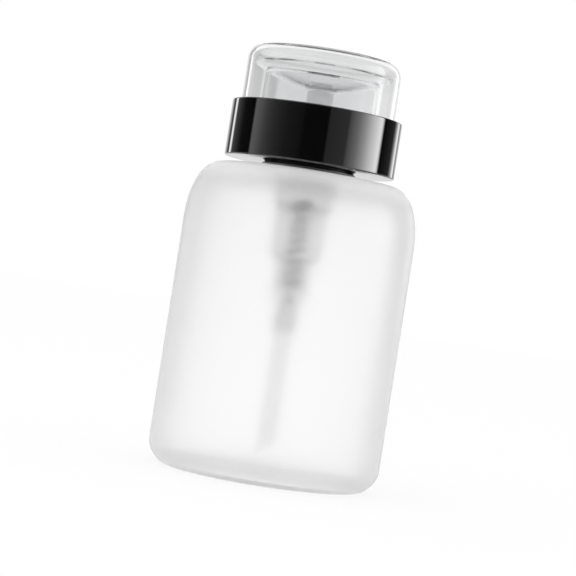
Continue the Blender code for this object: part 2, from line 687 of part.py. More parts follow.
def make_return_spring():
    points = spring_points()
    curve = bpy.data.curves.new("return_spring", "CURVE")
    curve.dimensions = "3D"
    curve.bevel_depth = SPRING_WIRE_RADIUS
    curve.bevel_resolution = 1
    curve.use_fill_caps = True
    spline = curve.splines.new("POLY")
    spline.points.add(len(points) - 1)
    for point, place in zip(spline.points, points):
        point.co = (*place, 1)
    link(bpy.data.objects.new("return_spring", curve), "steel")
    print(f"return_spring: least gap between turns {least_gap(points) * 1000:.2f} mm")


def make_screw_cap():
    bead_radius = CAP_RADIUS + CAP_BEAD_REACH
    bead_middle = CAP_BOTTOM + CAP_BEAD_HEIGHT / 2
    outline = [
        (CAP_RADIUS - CAP_TOP_ROUND, CAP_TOP),
        (CAP_RADIUS, CAP_TOP - CAP_TOP_ROUND),
        (CAP_RADIUS, CAP_BOTTOM + CAP_BEAD_HEIGHT),
        (bead_radius, bead_middle + CAP_BEAD_CREST / 2),
        (bead_radius, bead_middle - CAP_BEAD_CREST / 2),
        (CAP_RADIUS, CAP_BOTTOM),
        (CAP_BORE_RADIUS, CAP_BOTTOM),
        (CAP_BORE_RADIUS, CAP_PANEL_BOTTOM),
        (CAP_HOLE_RADIUS, CAP_PANEL_BOTTOM),
        (CAP_HOLE_RADIUS, CAP_TOP),
    ]
    cap = turned("screw_cap", outline, "black", LARGE_FACETS)
    thread = thread_helper(
        "cap_thread",
        CAP_BORE_RADIUS + OVERRUN,
        NECK_RADIUS + FIT_GAP,
        SHOULDER_HEIGHT + THREAD_START_HEIGHT - THREAD_LEAD / 2,
    )
    boolean(cap, thread, "UNION")
    key_top = CAP_TOP - KEY_TOP_DROP
    keys = blocks_helper(
        "cap_keys",
        KEY_COUNT,
        KEY_WIDTH,
        CAP_RADIUS - OVERRUN,
        CAP_RADIUS + KEY_HEIGHT,
        key_top - KEY_LENGTH,
        key_top,
    )
    boolean(cap, keys, "UNION")


def make_outer_collar():
    ledge_radius = COLLAR_BORE_RADIUS - LEDGE_REACH
    outline = [
        (COLLAR_RADIUS - COLLAR_EDGE_ROUND, COLLAR_TOP),
        (COLLAR_RADIUS, COLLAR_TOP - COLLAR_EDGE_ROUND),
        (COLLAR_RADIUS, COLLAR_BOTTOM + COLLAR_EDGE_ROUND),
        (COLLAR_RADIUS - COLLAR_EDGE_ROUND, COLLAR_BOTTOM),
        (TOWER_BORE_RADIUS, COLLAR_BOTTOM),
        (TOWER_BORE_RADIUS, TOWER_SNAP_BOTTOM),
        (TOWER_BORE_RADIUS - TOWER_SNAP_REACH, TOWER_SNAP_BOTTOM),
        (TOWER_BORE_RADIUS - TOWER_SNAP_REACH, TOWER_TOP),
        (TOWER_RADIUS, TOWER_TOP),
        (TOWER_RADIUS, COLLAR_FLOOR_TOP),
        (COLLAR_BORE_RADIUS, COLLAR_FLOOR_TOP),
        (COLLAR_BORE_RADIUS, LEDGE_TOP - LEDGE_THICKNESS),
        (ledge_radius, LEDGE_TOP - LEDGE_THICKNESS),
        (ledge_radius, LEDGE_TOP),
        (COLLAR_BORE_RADIUS, LEDGE_TOP),
        (COLLAR_BORE_RADIUS, COLLAR_TOP),
    ]
    collar = turned("outer_collar", outline, "black", LARGE_FACETS)
    key_top = CAP_TOP - KEY_TOP_DROP
    slots = blocks_helper(
        "key_slots",
        KEY_COUNT,
        KEY_WIDTH + 2 * FIT_GAP,
        TOWER_BORE_RADIUS - OVERRUN,
        CAP_RADIUS + KEY_HEIGHT + FIT_GAP,
        key_top - KEY_LENGTH - FIT_GAP,
        key_top + FIT_GAP,
    )
    boolean(collar, slots, "DIFFERENCE")


def bowl_points(inner_radius, outer_radius, sphere_radius, steps=BOWL_STEPS):
    """Points of the bowl's surface from the outer radius in to the inner one."""
    points = []
    for step in range(steps + 1):
        radius = outer_radius + (inner_radius - outer_radius) * step / steps
        points.append((radius, bowl_height(radius, sphere_radius)))
    return points


def make_press_dish():
    skirt_inner = DISH_SKIRT_RADIUS - DISH_SKIRT_WALL
    hub_bore = ROD_RADIUS + FIT_GAP
    outline = [(DISH_RADIUS, DISH_RIM_TOP)]
    outline += bowl_points(DISH_SKIRT_RADIUS, DISH_RADIUS, BOWL_SPHERE_RADIUS, 1)
    outline += [(DISH_SKIRT_RADIUS, DISH_SKIRT_BOTTOM), (skirt_inner, DISH_SKIRT_BOTTOM)]
    outline += bowl_points(HUB_RADIUS, skirt_inner, BOWL_SPHERE_RADIUS, BOWL_STEPS // 2)
    outline += [
        (HUB_RADIUS, HUB_BOTTOM),
        (hub_bore, HUB_BOTTOM),
        (hub_bore, DISH_BOTTOM),
        (NOZZLE_HOLE_RADIUS, DISH_BOTTOM),
    ]
    bowl = bowl_points(NOZZLE_HOLE_RADIUS, BOWL_EDGE_RADIUS, BOWL_INNER_SPHERE_RADIUS)
    outline += reversed(bowl)
    outline.append((BOWL_EDGE_RADIUS, DISH_RIM_TOP))
    turned("press_dish", outline, "clear", LARGE_FACETS)


def make_nozzle_insert():
    bottom = bowl_height(NOZZLE_RADIUS, BOWL_INNER_SPHERE_RADIUS) + FIT_GAP + NOZZLE_FLANGE_LIFT
    top = bottom + NOZZLE_FLANGE_THICKNESS
    spigot_bottom = OUTLET_BALL_HEIGHT + OUTLET_BALL_RADIUS + OUTLET_BALL_LIFT + FIT_GAP
    outline = [
        (NOZZLE_RADIUS - NOZZLE_ROUND, top),
        (NOZZLE_RADIUS, top - NOZZLE_ROUND),
        (NOZZLE_RADIUS, bottom),
        (NOZZLE_SPIGOT_RADIUS, bottom),
        (NOZZLE_SPIGOT_RADIUS, spigot_bottom),
        (NOZZLE_BORE_RADIUS, spigot_bottom),
        (NOZZLE_BORE_RADIUS, top),
    ]
    insert = turned("nozzle_insert", outline, "clear", SMALL_FACETS)
    # Slots in its end let the liquid past the outlet ball when the ball is up against it
    slots = blocks_helper(
        "nozzle_slots",
        NOZZLE_SLOT_COUNT,
        NOZZLE_SLOT_WIDTH,
        NOZZLE_BORE_RADIUS - OVERRUN,
        NOZZLE_SPIGOT_RADIUS + OVERRUN,
        spigot_bottom - OVERRUN,
        spigot_bottom + NOZZLE_SLOT_DEPTH,
    )
    boolean(insert, slots, "DIFFERENCE")


def make_overcap():
    top_edge = OVERCAP_TOP - OVERCAP_CROWN
    outer_corner = ellipse_arc(
        (OVERCAP_RADIUS - OVERCAP_CORNER_REACH, top_edge - OVERCAP_CORNER_DROP),
        (OVERCAP_CORNER_REACH, OVERCAP_CORNER_DROP),
        90,
        0,
        OVERCAP_CORNER_STEPS,
    )
    inner_corner = ellipse_arc(
        (OVERCAP_RADIUS - OVERCAP_CORNER_REACH, top_edge - OVERCAP_CORNER_DROP),
        (OVERCAP_CORNER_REACH - OVERCAP_WALL, OVERCAP_CORNER_DROP - OVERCAP_TOP_WALL),
        0,
        90,
        OVERCAP_CORNER_STEPS,
    )
    outline = [(0, OVERCAP_CEILING), *reversed(inner_corner)]
    outline += [(OVERCAP_BORE_RADIUS, OVERCAP_BOTTOM), (OVERCAP_RADIUS, OVERCAP_BOTTOM)]
    outline += [*reversed(outer_corner), (0, OVERCAP_TOP)]
    turned("overcap", list(reversed(outline)), "clear", LARGE_FACETS, closed=False)


def report():
    print(f"height {OVERCAP_TOP * 1000:.2f} mm, collar {COLLAR_RADIUS * 2000:.2f} mm across")
    print(f"inlet ball at {INLET_BALL_HEIGHT * 1000:.2f} mm")
    print(f"outlet ball at {OUTLET_BALL_HEIGHT * 1000:.2f} mm")
    print(f"dish rim {DISH_RIM_TOP * 1000:.2f} mm, dish bottom {DISH_BOTTOM * 1000:.2f} mm")


COLLECTIONS = start_collections()
MATERIALS = {name: make_material(name) for name in FINISHES}

make_bottle()
make_neck_gasket()
make_pump_housing()
make_inlet_ball_cage()
make_ball("inlet_ball", INLET_BALL_RADIUS, INLET_BALL_HEIGHT)
make_dip_tube()
make_stem_guide()
make_piston_seal()
make_piston_rod()
make_return_spring()
make_ball("outlet_ball", OUTLET_BALL_RADIUS, OUTLET_BALL_HEIGHT)
make_screw_cap()
make_outer_collar()
make_press_dish()
make_nozzle_insert()
make_overcap()
report()
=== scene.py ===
# Pump dispenser bottle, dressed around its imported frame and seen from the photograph's place.

import math

import bmesh
import bpy
from mathutils import Matrix, Vector


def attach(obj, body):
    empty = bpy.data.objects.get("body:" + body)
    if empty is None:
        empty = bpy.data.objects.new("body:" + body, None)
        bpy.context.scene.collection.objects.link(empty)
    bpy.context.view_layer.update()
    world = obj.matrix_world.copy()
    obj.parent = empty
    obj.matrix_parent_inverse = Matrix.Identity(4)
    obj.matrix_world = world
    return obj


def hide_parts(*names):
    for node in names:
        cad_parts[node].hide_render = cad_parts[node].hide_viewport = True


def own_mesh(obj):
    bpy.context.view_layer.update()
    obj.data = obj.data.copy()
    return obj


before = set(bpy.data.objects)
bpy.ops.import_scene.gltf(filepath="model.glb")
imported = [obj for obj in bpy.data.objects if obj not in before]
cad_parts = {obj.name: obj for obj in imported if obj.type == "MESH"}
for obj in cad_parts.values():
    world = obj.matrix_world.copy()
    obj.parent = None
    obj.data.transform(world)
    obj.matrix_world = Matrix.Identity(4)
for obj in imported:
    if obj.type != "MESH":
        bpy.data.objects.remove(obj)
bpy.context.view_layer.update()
scene = bpy.context.scene


# The bottle is blow-moulded in one piece from milky, frosted polypropylene. Its crown is made
# milkier the higher it is: painted light that lightens the shade the collar casts there. Its
# shoulder and heel are squared-off ellipses, its base is pushed up inside a flat ring, and its
# short, thick neck has a thread of one and a quarter turns that fades at both ends.


def grow(tree, kind, inputs=(), **settings):
    """Adds a node: its settings, then its inputs, each a value or the socket that feeds it."""
    node = tree.nodes.new(kind)
    for name, value in settings.items():
        setattr(node, name, value)
    for name, value in dict(inputs).items():
        if isinstance(value, bpy.types.NodeSocket):
            tree.links.new(value, node.inputs[name])
        else:
            node.inputs[name].default_value = value
    return node


def sum_up(tree, operation, *values):
    """Adds a Math node and gives its result."""
    return grow(tree, "ShaderNodeMath", dict(enumerate(values)), operation=operation).outputs[0]


def new_tree(name, kind, inputs, outputs):
    """A node tree with named inputs and outputs, and the sockets of its two end nodes."""
    tree = bpy.data.node_groups.new(name, kind)
    for direction, sockets in (("INPUT", inputs), ("OUTPUT", outputs)):
        for socket, socket_type in sockets.items():
            tree.interface.new_socket(
                socket, in_out=direction, socket_type=f"NodeSocket{socket_type}"
            )
    return tree, tree.nodes.new("NodeGroupInput").outputs, tree.nodes.new("NodeGroupOutput").inputs


SAME_POINT = 0.000002
SHARP_EDGE = math.radians(40)


def end_tree(tree, geometry, material, result):
    """Closes a geometry tree: one plain mesh of one material, shaded smooth."""
    merged = grow(
        tree, "GeometryNodeMergeByDistance", {"Geometry": geometry, "Distance": SAME_POINT}
    )
    smooth = grow(tree, "GeometryNodeSetShadeSmooth", {"Geometry": merged.outputs[0]})
    real = grow(tree, "GeometryNodeRealizeInstances", {"Geometry": smooth.outputs[0]})
    painted = grow(
        tree, "GeometryNodeSetMaterial", {"Geometry": real.outputs[0], "Material": material}
    )
    tree.links.new(painted.outputs[0], result)


def turning_tree():
    """Turns an outline about Z. It lies in the XY plane: radius, and height downwards."""
    tree, given, result = new_tree(
        "turn_outline",
        "GeometryNodeTree",
        {"Outline": "Geometry", "Facets": "Int", "Path Radius": "Float", "Material": "Material"},
        {"Skin": "Geometry"},
    )
    outline = grow(tree, "GeometryNodeMeshToCurve", {"Mesh": given["Outline"]})
    step = grow(
        tree, "ShaderNodeCombineXYZ", {"X": sum_up(tree, "MULTIPLY", given["Path Radius"], -1.0)}
    )
    section = grow(
        tree,
        "GeometryNodeSetPosition",
        {"Geometry": outline.outputs[0], "Offset": step.outputs[0]},
    )
    path = grow(
        tree,
        "GeometryNodeCurvePrimitiveCircle",
        {"Resolution": given["Facets"], "Radius": given["Path Radius"]},
    )
    skin = grow(
        tree,
        "GeometryNodeCurveToMesh",
        {"Curve": path.outputs[0], "Profile Curve": section.outputs[0]},
    )
    end_tree(tree, skin.outputs[0], given["Material"], result["Skin"])
    return tree


def ridge_tree():
    """Sweeps a section up a right-hand helix; the ridge rises out of its path at both ends."""
    tree, given, result = new_tree(
        "ridge_up_helix",
        "GeometryNodeTree",
        {
            "Section": "Geometry",
            "Turns": "Float",
            "Points per Turn": "Int",
            "Path Radius": "Float",
            "Lead": "Float",
            "Start Height": "Float",
            "Fade": "Float",
            "Material": "Material",
        },
        {"Ridge": "Geometry"},
    )
    path = grow(
        tree,
        "GeometryNodeCurveSpiral",
        {
            "Resolution": given["Points per Turn"],
            "Rotations": given["Turns"],
            "Start Radius": given["Path Radius"],
            "End Radius": given["Path Radius"],
            "Height": sum_up(tree, "MULTIPLY", given["Turns"], given["Lead"]),
            "Reverse": True,
        },
    )
    start = grow(tree, "ShaderNodeCombineXYZ", {"Z": given["Start Height"]})
    lifted = grow(
        tree,
        "GeometryNodeTransform",
        {"Geometry": path.outputs[0], "Translation": start.outputs[0]},
    )
    level = grow(tree, "GeometryNodeSetCurveNormal", {"Curve": lifted.outputs[0]}, mode="Z_UP")
    share = grow(tree, "GeometryNodeSplineParameter").outputs["Factor"]
    to_end = sum_up(tree, "MINIMUM", share, sum_up(tree, "SUBTRACT", 1.0, share))
    risen = sum_up(tree, "DIVIDE", to_end, given["Fade"])
    quarter = sum_up(tree, "MULTIPLY", sum_up(tree, "MINIMUM", risen, 1.0), math.pi / 2)
    eased = sum_up(tree, "SINE", quarter)
    faded = grow(
        tree,
        "GeometryNodeSetCurveRadius",
        {"Curve": level.outputs[0], "Radius": sum_up(tree, "MAXIMUM", eased, 0.05)},
    )
    section = grow(tree, "GeometryNodeMeshToCurve", {"Mesh": given["Section"]})
    ridge = grow(
        tree,
        "GeometryNodeCurveToMesh",
        {"Curve": faded.outputs[0], "Profile Curve": section.outputs[0], "Fill Caps": True},
    )
    end_tree(tree, ridge.outputs[0], given["Material"], result["Ridge"])
    return tree


def grown_mesh(source, tree, values):
    """The plain mesh that a tree makes from a source mesh, with its faces pointing outwards."""
    holder = bpy.data.objects.new("holder", source)
    scene.collection.objects.link(holder)
    modifier = holder.modifiers.new("grow", "NODES")
    modifier.node_group = tree
    for item in tree.interface.items_tree:
        if item.in_out == "INPUT" and item.name in values:
            modifier[item.identifier] = values[item.name]
    graph = bpy.context.evaluated_depsgraph_get()
    mesh = bpy.data.meshes.new_from_object(holder.evaluated_get(graph))
    bpy.data.objects.remove(holder)
    outward = bmesh.new()
    outward.from_mesh(mesh)
    bmesh.ops.recalc_face_normals(outward, faces=outward.faces)
    outward.to_mesh(mesh)
    outward.free()
    mesh.set_sharp_from_angle(angle=SHARP_EDGE)
    return mesh


def combined(mesh, tool, operation):
    """One mesh from two closed ones: joined, or with the second cut out of the first."""
    piece, cutter = (bpy.data.objects.new("half", half) for half in (mesh, tool))
    for half in (piece, cutter):
        scene.collection.objects.link(half)
    modifier = piece.modifiers.new("combine", "BOOLEAN")
    modifier.operation = operation
    modifier.object = cutter
    graph = bpy.context.evaluated_depsgraph_get()
    result = bpy.data.meshes.new_from_object(piece.evaluated_get(graph))
    for half in (piece, cutter):
        bpy.data.objects.remove(half)
    result.set_sharp_from_angle(angle=SHARP_EDGE)
    return result


def finished(name, mesh, body, slot, *nodes):
    """A piece of the object: named, on its body, and in place of its frame nodes; its slot is not
    used.
    """
    mesh.name = name
    piece = bpy.data.objects.new(name, mesh)
    scene.collection.objects.link(piece)
    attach(piece, body)
    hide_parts(*nodes)
    return piece


SUPPORT = 1.12


def rounded(corners, steps=5):
    """An outline of (radius, height) points; a third number rounds that corner. A point close to
    each end of a rounding keeps the walls beside it flat in their shading."""
    outline = []
    count = len(corners)
    for index, corner in enumerate(corners):
        here = Vector(corner[:2])
        if len(corner) == 2:
            outline.append(here)
            continue
        before = (Vector(corners[index - 1][:2]) - here).normalized()
        after = (Vector(corners[(index + 1) % count][:2]) - here).normalized()
        half = before.angle(after) / 2
        reach = corner[2] / math.tan(half)
        start, end = before * reach, after * reach
        centre = (before + after).normalized() * corner[2] / math.sin(half)
        outline.append(here + start * SUPPORT)
        for step in range(steps + 1):
            spoke = (start - centre).slerp(end - centre, step / steps)
            outline.append(here + centre + spoke.normalized() * corner[2])
        outline.append(here + end * SUPPORT)
    return outline


TURN_OUTLINE = turning_tree()
RIDGE_UP_HELIX = ridge_tree()


def outline_mesh(outline, closed=True):
    """The outline as the wire mesh that the trees read."""
    count = len(outline)
    source = bpy.data.meshes.new("outline")
    links = [(i, (i + 1) % count) for i in range(count if closed else count - 1)]
    source.from_pydata([(radius, -height, 0) for radius, height in outline], links, [])
    return source


TURNING_RADIUS = 0.001


def turned(outline, facets, material, closed=True):
    """The mesh of a turned piece. An open outline starts and ends on the axis."""
    return grown_mesh(
        outline_mesh(outline, closed),
        TURN_OUTLINE,
        {"Facets": facets, "Path Radius": TURNING_RADIUS, "Material": material},
    )


BROAD_GRAIN = 25
GRAIN_DEPTH = 0.00002


def mould_grain_group():
    """Shader group: the faint unevenness of a moulded surface, as roughness and height."""
    tree, given, result = new_tree(
        "mould_grain",
        "ShaderNodeTree",
        {"Grain Size": "Float", "Roughness": "Float", "Spread": "Float"},
        {"Roughness": "Float", "Height": "Float"},
    )
    place = grow(tree, "ShaderNodeTexCoord").outputs["Object"]
    per_metre = sum_up(tree, "DIVIDE", 1.0, given["Grain Size"])
    fine = grow(
        tree, "ShaderNodeTexNoise", {"Vector": place, "Scale": per_metre, "Detail": 3.0}
    ).outputs[0]
    broad_scale = sum_up(tree, "DIVIDE", per_metre, BROAD_GRAIN)
    broad = grow(
        tree, "ShaderNodeTexNoise", {"Vector": place, "Scale": broad_scale, "Detail": 2.0}
    ).outputs[0]
    centred = sum_up(tree, "SUBTRACT", broad, 0.5)
    uneven = sum_up(tree, "MULTIPLY_ADD", centred, given["Spread"], given["Roughness"])
    tree.links.new(uneven, result["Roughness"])
    tree.links.new(fine, result["Height"])
    return tree


MOULD_GRAIN = mould_grain_group()


def moulded_material(name, grain, bump, colours, values):
    """A Principled material with the mould grain in its roughness and bump: grain is its size,
    the roughness and how far that varies. Its colours are a blend, the colour faced squarely and
    the colour at its edges. The values go straight to the shader's sockets."""
    material = bpy.data.materials.new(name)
    material.use_nodes = True
    tree = material.node_tree
    shader = tree.nodes["Principled BSDF"]
    for socket, value in values.items():
        shader.inputs[socket].default_value = value
    grain_size, roughness, spread = grain
    group = grow(
        tree,
        "ShaderNodeGroup",
        {"Grain Size": grain_size, "Roughness": roughness, "Spread": spread},
        node_tree=MOULD_GRAIN,
    )
    tree.links.new(group.outputs["Roughness"], shader.inputs["Roughness"])
    uneven = grow(
        tree,
        "ShaderNodeBump",
        {"Strength": bump, "Distance": GRAIN_DEPTH, "Height": group.outputs["Height"]},
    )
    tree.links.new(uneven.outputs["Normal"], shader.inputs["Normal"])
    blend, square_on, edge_on = colours
    facing = grow(tree, "ShaderNodeLayerWeight", {"Blend": blend}).outputs["Facing"]
    colour = grow(
        tree,
        "ShaderNodeMix",
        {0: facing, 6: (*square_on, 1), 7: (*edge_on, 1)},
        data_type="RGBA",
    )
    tree.links.new(colour.outputs[2], shader.inputs["Base Color"])
    return material


def own_place(tree):
    """Where a point lies on its piece: the place itself, and its height."""
    place = grow(tree, "ShaderNodeTexCoord").outputs["Object"]
    return place, grow(tree, "ShaderNodeSeparateXYZ", {0: place}).outputs["Z"]


def ease(tree, value, start, end):
    """Runs smoothly from 0 at the start to 1 at the end."""
    return grow(
        tree,
        "ShaderNodeMapRange",
        {"Value": value, "From Min": start, "From Max": end},
        interpolation_type="SMOOTHSTEP",
    ).outputs[0]


def roughen(material, mask, roughness):
    """Gives a material another roughness where the mask is 1."""
    tree = material.node_tree
    socket = tree.nodes["Principled BSDF"].inputs["Roughness"]
    own = socket.links[0].from_socket
    mixed = grow(tree, "ShaderNodeMix", {0: mask, 2: own, 3: roughness})
    tree.links.new(mixed.outputs[0], socket)


BOTTLE_RADIUS = 0.0325
SHOULDER_HEIGHT = 0.0853
SHOULDER_REACH = 0.0087
SHOULDER_DROP = 0.0171
SHOULDER_POWER = 2.17
HEEL_REACH = 0.0050
HEEL_RISE = 0.0062
HEEL_POWER = 1.66
BOTTLE_WALL = 0.0011
BOTTLE_FLOOR = 0.0016
STANDING_RING = 0.0032
PUSH_UP = 0.0016
GATE_MARK = 0.0003
GATE_RADIUS = 0.0012
NECK_RADIUS = 0.0098
NECK_BORE = 0.0084
NECK_TOP = 0.0953
THREAD_TURNS = 1.25
THREAD_LEAD = 0.003175
THREAD_DEPTH = 0.0010
THREAD_SUNK = 0.0004
THREAD_ROOT = 0.0015
THREAD_CREST = 0.0007
THREAD_FADE = 0.06
THREAD_START = SHOULDER_HEIGHT + 0.0036


def squared_arc(centre, reach, start, end, power, steps):
    """Points along a quarter of a squared-off ellipse, between two angles in degrees."""
    points = []
    for step in range(steps + 1):
        angle = math.radians(start + (end - start) * step / steps)
        across, along = math.cos(angle), math.sin(angle)
        points.append(
            Vector(
                (
                    centre[0] + reach[0] * math.copysign(abs(across) ** (2 / power), across),
                    centre[1] + reach[1] * math.copysign(abs(along) ** (2 / power), along),
                )
            )
        )
    return points


def bottle_skin(inset, floor, gate):
    """Shoulder, wall, heel and base, from the shoulder's flat in to the axis."""
    shoulder = squared_arc(
        (BOTTLE_RADIUS - SHOULDER_REACH, SHOULDER_HEIGHT - SHOULDER_DROP),
        (SHOULDER_REACH - inset, SHOULDER_DROP - inset),
        90,
        0,
        SHOULDER_POWER,
        36,
    )
    heel = squared_arc(
        (BOTTLE_RADIUS - HEEL_REACH, HEEL_RISE),
        (HEEL_REACH - inset, HEEL_RISE - floor),
        0,
        -90,
        HEEL_POWER,
        24,
    )
    ring_inside = BOTTLE_RADIUS - HEEL_REACH - STANDING_RING
    base = []
    for step in range(13):
        share = 1 - step / 12
        rise = PUSH_UP * (1 - share**2)
        base.append(Vector((ring_inside * share, floor + rise)))
    if gate:
        base[-1:] = [
            Vector((GATE_RADIUS, floor + PUSH_UP)),
            Vector((GATE_RADIUS - 0.0002, floor + PUSH_UP - gate)),
            Vector((0, floor + PUSH_UP - gate)),
        ]
    return shoulder + heel + base


def thread(reach, path_radius, start_height, material):
    """The mesh of a thread: outwards for a positive reach, inwards for a negative one."""
    ridge = rounded(
        [
            (0, -THREAD_ROOT / 2),
            (reach, -THREAD_CREST / 2, 0.00015),
            (reach, THREAD_CREST / 2, 0.00015),
            (0, THREAD_ROOT / 2),
        ],
        3,
    )
    return grown_mesh(
        outline_mesh(ridge),
        RIDGE_UP_HELIX,
        {
            "Turns": THREAD_TURNS,
            "Points per Turn": 96,
            "Path Radius": path_radius,
            "Lead": THREAD_LEAD,
            "Start Height": start_height,
            "Fade": THREAD_FADE,
            "Material": material,
        },
    )


frosted = moulded_material(
    "frosted_polypropylene",
    (0.0009, 0.33, 0.04),
    0.15,
    (0.3, (1.0, 1.0, 1.0), (1.0, 1.0, 1.0)),
    {"IOR": 1.25, "Transmission Weight": 1.0},
)
CROWN_START = 0.0785
CROWN_END = 0.0845
CROWN_ROUGHNESS = 0.55
# The crown is made milkier the higher it is, painted light that lightens the collar's shade
# there: pairs of a band's lower edge and its clearness.
CROWN_LIGHTENING_BANDS = (
    (0.0798, 0.90),
    (0.0806, 0.80),
    (0.0814, 0.72),
    (0.0822, 0.66),
    (0.0830, 0.61),
    (0.0838, 0.57),
)
tree = frosted.node_tree
crown = ease(tree, own_place(tree)[1], CROWN_START, CROWN_END)
roughen(frosted, crown, CROWN_ROUGHNESS)
neck = rounded(
    [
        (BOTTLE_RADIUS, SHOULDER_HEIGHT - BOTTLE_WALL),
        (NECK_BORE, SHOULDER_HEIGHT - BOTTLE_WALL, 0.0005),
        (NECK_BORE, NECK_TOP, 0.0003),
        (NECK_RADIUS, NECK_TOP, 0.0003),
        (NECK_RADIUS, SHOULDER_HEIGHT, 0.0010),
        (BOTTLE_RADIUS, SHOULDER_HEIGHT),
    ]
)[1:-1]
inner_skin = list(reversed(bottle_skin(BOTTLE_WALL, BOTTLE_FLOOR, 0)))
bottle_shape = turned(inner_skin + neck + bottle_skin(0, 0, GATE_MARK), 160, frosted, closed=False)
neck_thread = thread(
    THREAD_DEPTH + THREAD_SUNK, NECK_RADIUS - THREAD_SUNK, THREAD_START, frosted
)
bottle_mesh = combined(bottle_shape, neck_thread, "UNION")

# Only the outer skin carries the milky bands, painted light that lightens the collar's shade
# on the crown: its faces point outwards or up.
for number, (bottom, clearness) in enumerate(CROWN_LIGHTENING_BANDS, start=1):
    crown_lightening_band = frosted.copy()
    crown_lightening_band.name = f"frosted_crown_painted_light_{number}"
    crown_lightening_shader = crown_lightening_band.node_tree.nodes["Principled BSDF"]
    crown_lightening_shader.inputs["Transmission Weight"].default_value = clearness
    bottle_mesh.materials.append(crown_lightening_band)
    for polygon in bottle_mesh.polygons:
        away = polygon.center.xy.normalized().to_3d() + Vector((0, 0, 1))
        if polygon.center.z > bottom and polygon.normal.dot(away) > 0:
            polygon.material_index = len(bottle_mesh.materials) - 1
finished("bottle_shell", bottle_mesh, "bottle", "frosted_plastic", "bottle")


# The pump housing is a stepped barrel of natural plastic that hangs in the neck from its flange.
# Its wide bore takes the piston, its long chamber the spring, and its foot the ball and the tube.

natural = moulded_material(
    "natural_plastic",
    (0.0015, 0.30, 0.05),
    0.05,
    (0.4, (0.971, 0.971, 0.971), (0.949, 0.949, 0.949)),
    {"IOR": 1.38, "Transmission Weight": 1.0},
)
BORE_RADIUS = 0.0069
HOUSING_WALL = 0.0012
BORE_BOTTOM = 0.0764
CHAMBER_RADIUS = 0.0057
CHAMBER_BOTTOM = 0.0621
FOOT_RADIUS = 0.0037
FOOT_TOP = 0.0602
FOOT_BOTTOM = 0.0523
SEAT_TOP = 0.048989
SEAT_BOTTOM = 0.047889
SOCKET_BORE = 0.00255
SOCKET_TOP = 0.047289
SOCKET_BOTTOM = 0.040789
SOCKET_WALL = 0.0006
SEAT_RADIUS = 0.0023
SEAT_BORE = 0.0012
VENT_RADIUS = 0.0005
VENT_BELOW_FLANGE = 0.0035
PUMP_FLANGE_RADIUS = 0.0097
PUMP_FLANGE_TOP = 0.0979
PUMP_FLANGE_BOTTOM = 0.0969
housing_outline = rounded(
    [
        (PUMP_FLANGE_RADIUS, PUMP_FLANGE_TOP, 0.0002),
        (PUMP_FLANGE_RADIUS, PUMP_FLANGE_BOTTOM, 0.0002),
        (BORE_RADIUS + HOUSING_WALL, PUMP_FLANGE_BOTTOM, 0.0004),
        (BORE_RADIUS + HOUSING_WALL, BORE_BOTTOM, 0.0006),
        (CHAMBER_RADIUS + HOUSING_WALL, BORE_BOTTOM - HOUSING_WALL, 0.0006),
        (CHAMBER_RADIUS + HOUSING_WALL, CHAMBER_BOTTOM, 0.0008),
        (FOOT_RADIUS + HOUSING_WALL, FOOT_TOP, 0.0008),
        (FOOT_RADIUS + HOUSING_WALL, SEAT_TOP + HOUSING_WALL, 0.0005),
        (SOCKET_BORE + SOCKET_WALL, SEAT_TOP + HOUSING_WALL - 0.0015, 0.0005),
        (SOCKET_BORE + SOCKET_WALL, SOCKET_BOTTOM, 0.0002),
        (SOCKET_BORE, SOCKET_BOTTOM, 0.0002),
        (SOCKET_BORE, SOCKET_TOP, 0.0001),
        (SEAT_BORE, SOCKET_TOP, 0.0001),
        (SEAT_BORE, SEAT_BOTTOM, 0.0001),
        (SEAT_RADIUS, SEAT_TOP, 0.0002),
        (SEAT_RADIUS, FOOT_BOTTOM, 0.0001),
        (FOOT_RADIUS, FOOT_BOTTOM, 0.0002),
        (FOOT_RADIUS, FOOT_TOP, 0.0006),
        (CHAMBER_RADIUS, CHAMBER_BOTTOM, 0.0006),
        (CHAMBER_RADIUS, BORE_BOTTOM, 0.0002),
        (BORE_RADIUS, BORE_BOTTOM, 0.0002),
        (BORE_RADIUS, PUMP_FLANGE_TOP, 0.0002),
    ],
    3,
)
vent_source = bmesh.new()
bmesh.ops.create_cone(
    vent_source,
    cap_ends=True,
    segments=24,
    radius1=VENT_RADIUS,
    radius2=VENT_RADIUS,
    depth=0.0020,
    matrix=Matrix.Translation(
        (BORE_RADIUS + HOUSING_WALL / 2, 0, PUMP_FLANGE_BOTTOM - VENT_BELOW_FLANGE)
    )
    @ Matrix.Rotation(math.pi / 2, 4, "Y"),
)
vent = bpy.data.meshes.new("vent")
vent_source.to_mesh(vent)
vent_source.free()
finished(
    "pump_barrel",
    combined(turned(housing_outline, 96, natural), vent, "DIFFERENCE"),
    "pump",
    "natural_plastic",
    "pump_housing",
)


# The inlet valve is a polished steel ball, loose on a conical seat in the barrel's foot. The
# liquid lifts it when the dish comes up, and it drops back and seals when the dish is pressed.

ball_steel = moulded_material(
    "polished_ball_steel",
    (0.0006, 0.10, 0.04),
    0.02,
    (0.3, (0.72, 0.72, 0.72), (0.80, 0.80, 0.80)),
    {"Metallic": 1.0},
)


def ball(name, radius, height, body, node):
    """A valve ball, turned from a half circle."""
    outline = []
    for step in range(25):
        angle = math.pi * step / 24
        outline.append(Vector((radius * math.sin(angle), height + radius * math.cos(angle))))
    outline[0].x = outline[-1].x = 0
    finished(name, turned(outline, 48, ball_steel, closed=False), body, "steel", node)


INLET_BALL_RADIUS = 0.0019
INLET_BALL_HEIGHT = 0.0498
ball("inlet_valve_ball", INLET_BALL_RADIUS, INLET_BALL_HEIGHT, "inlet_ball", "inlet_ball")


# A ring over the ball keeps it in its chamber and carries the spring. Three notches round its
# hole let the liquid past when the ball is up against it.


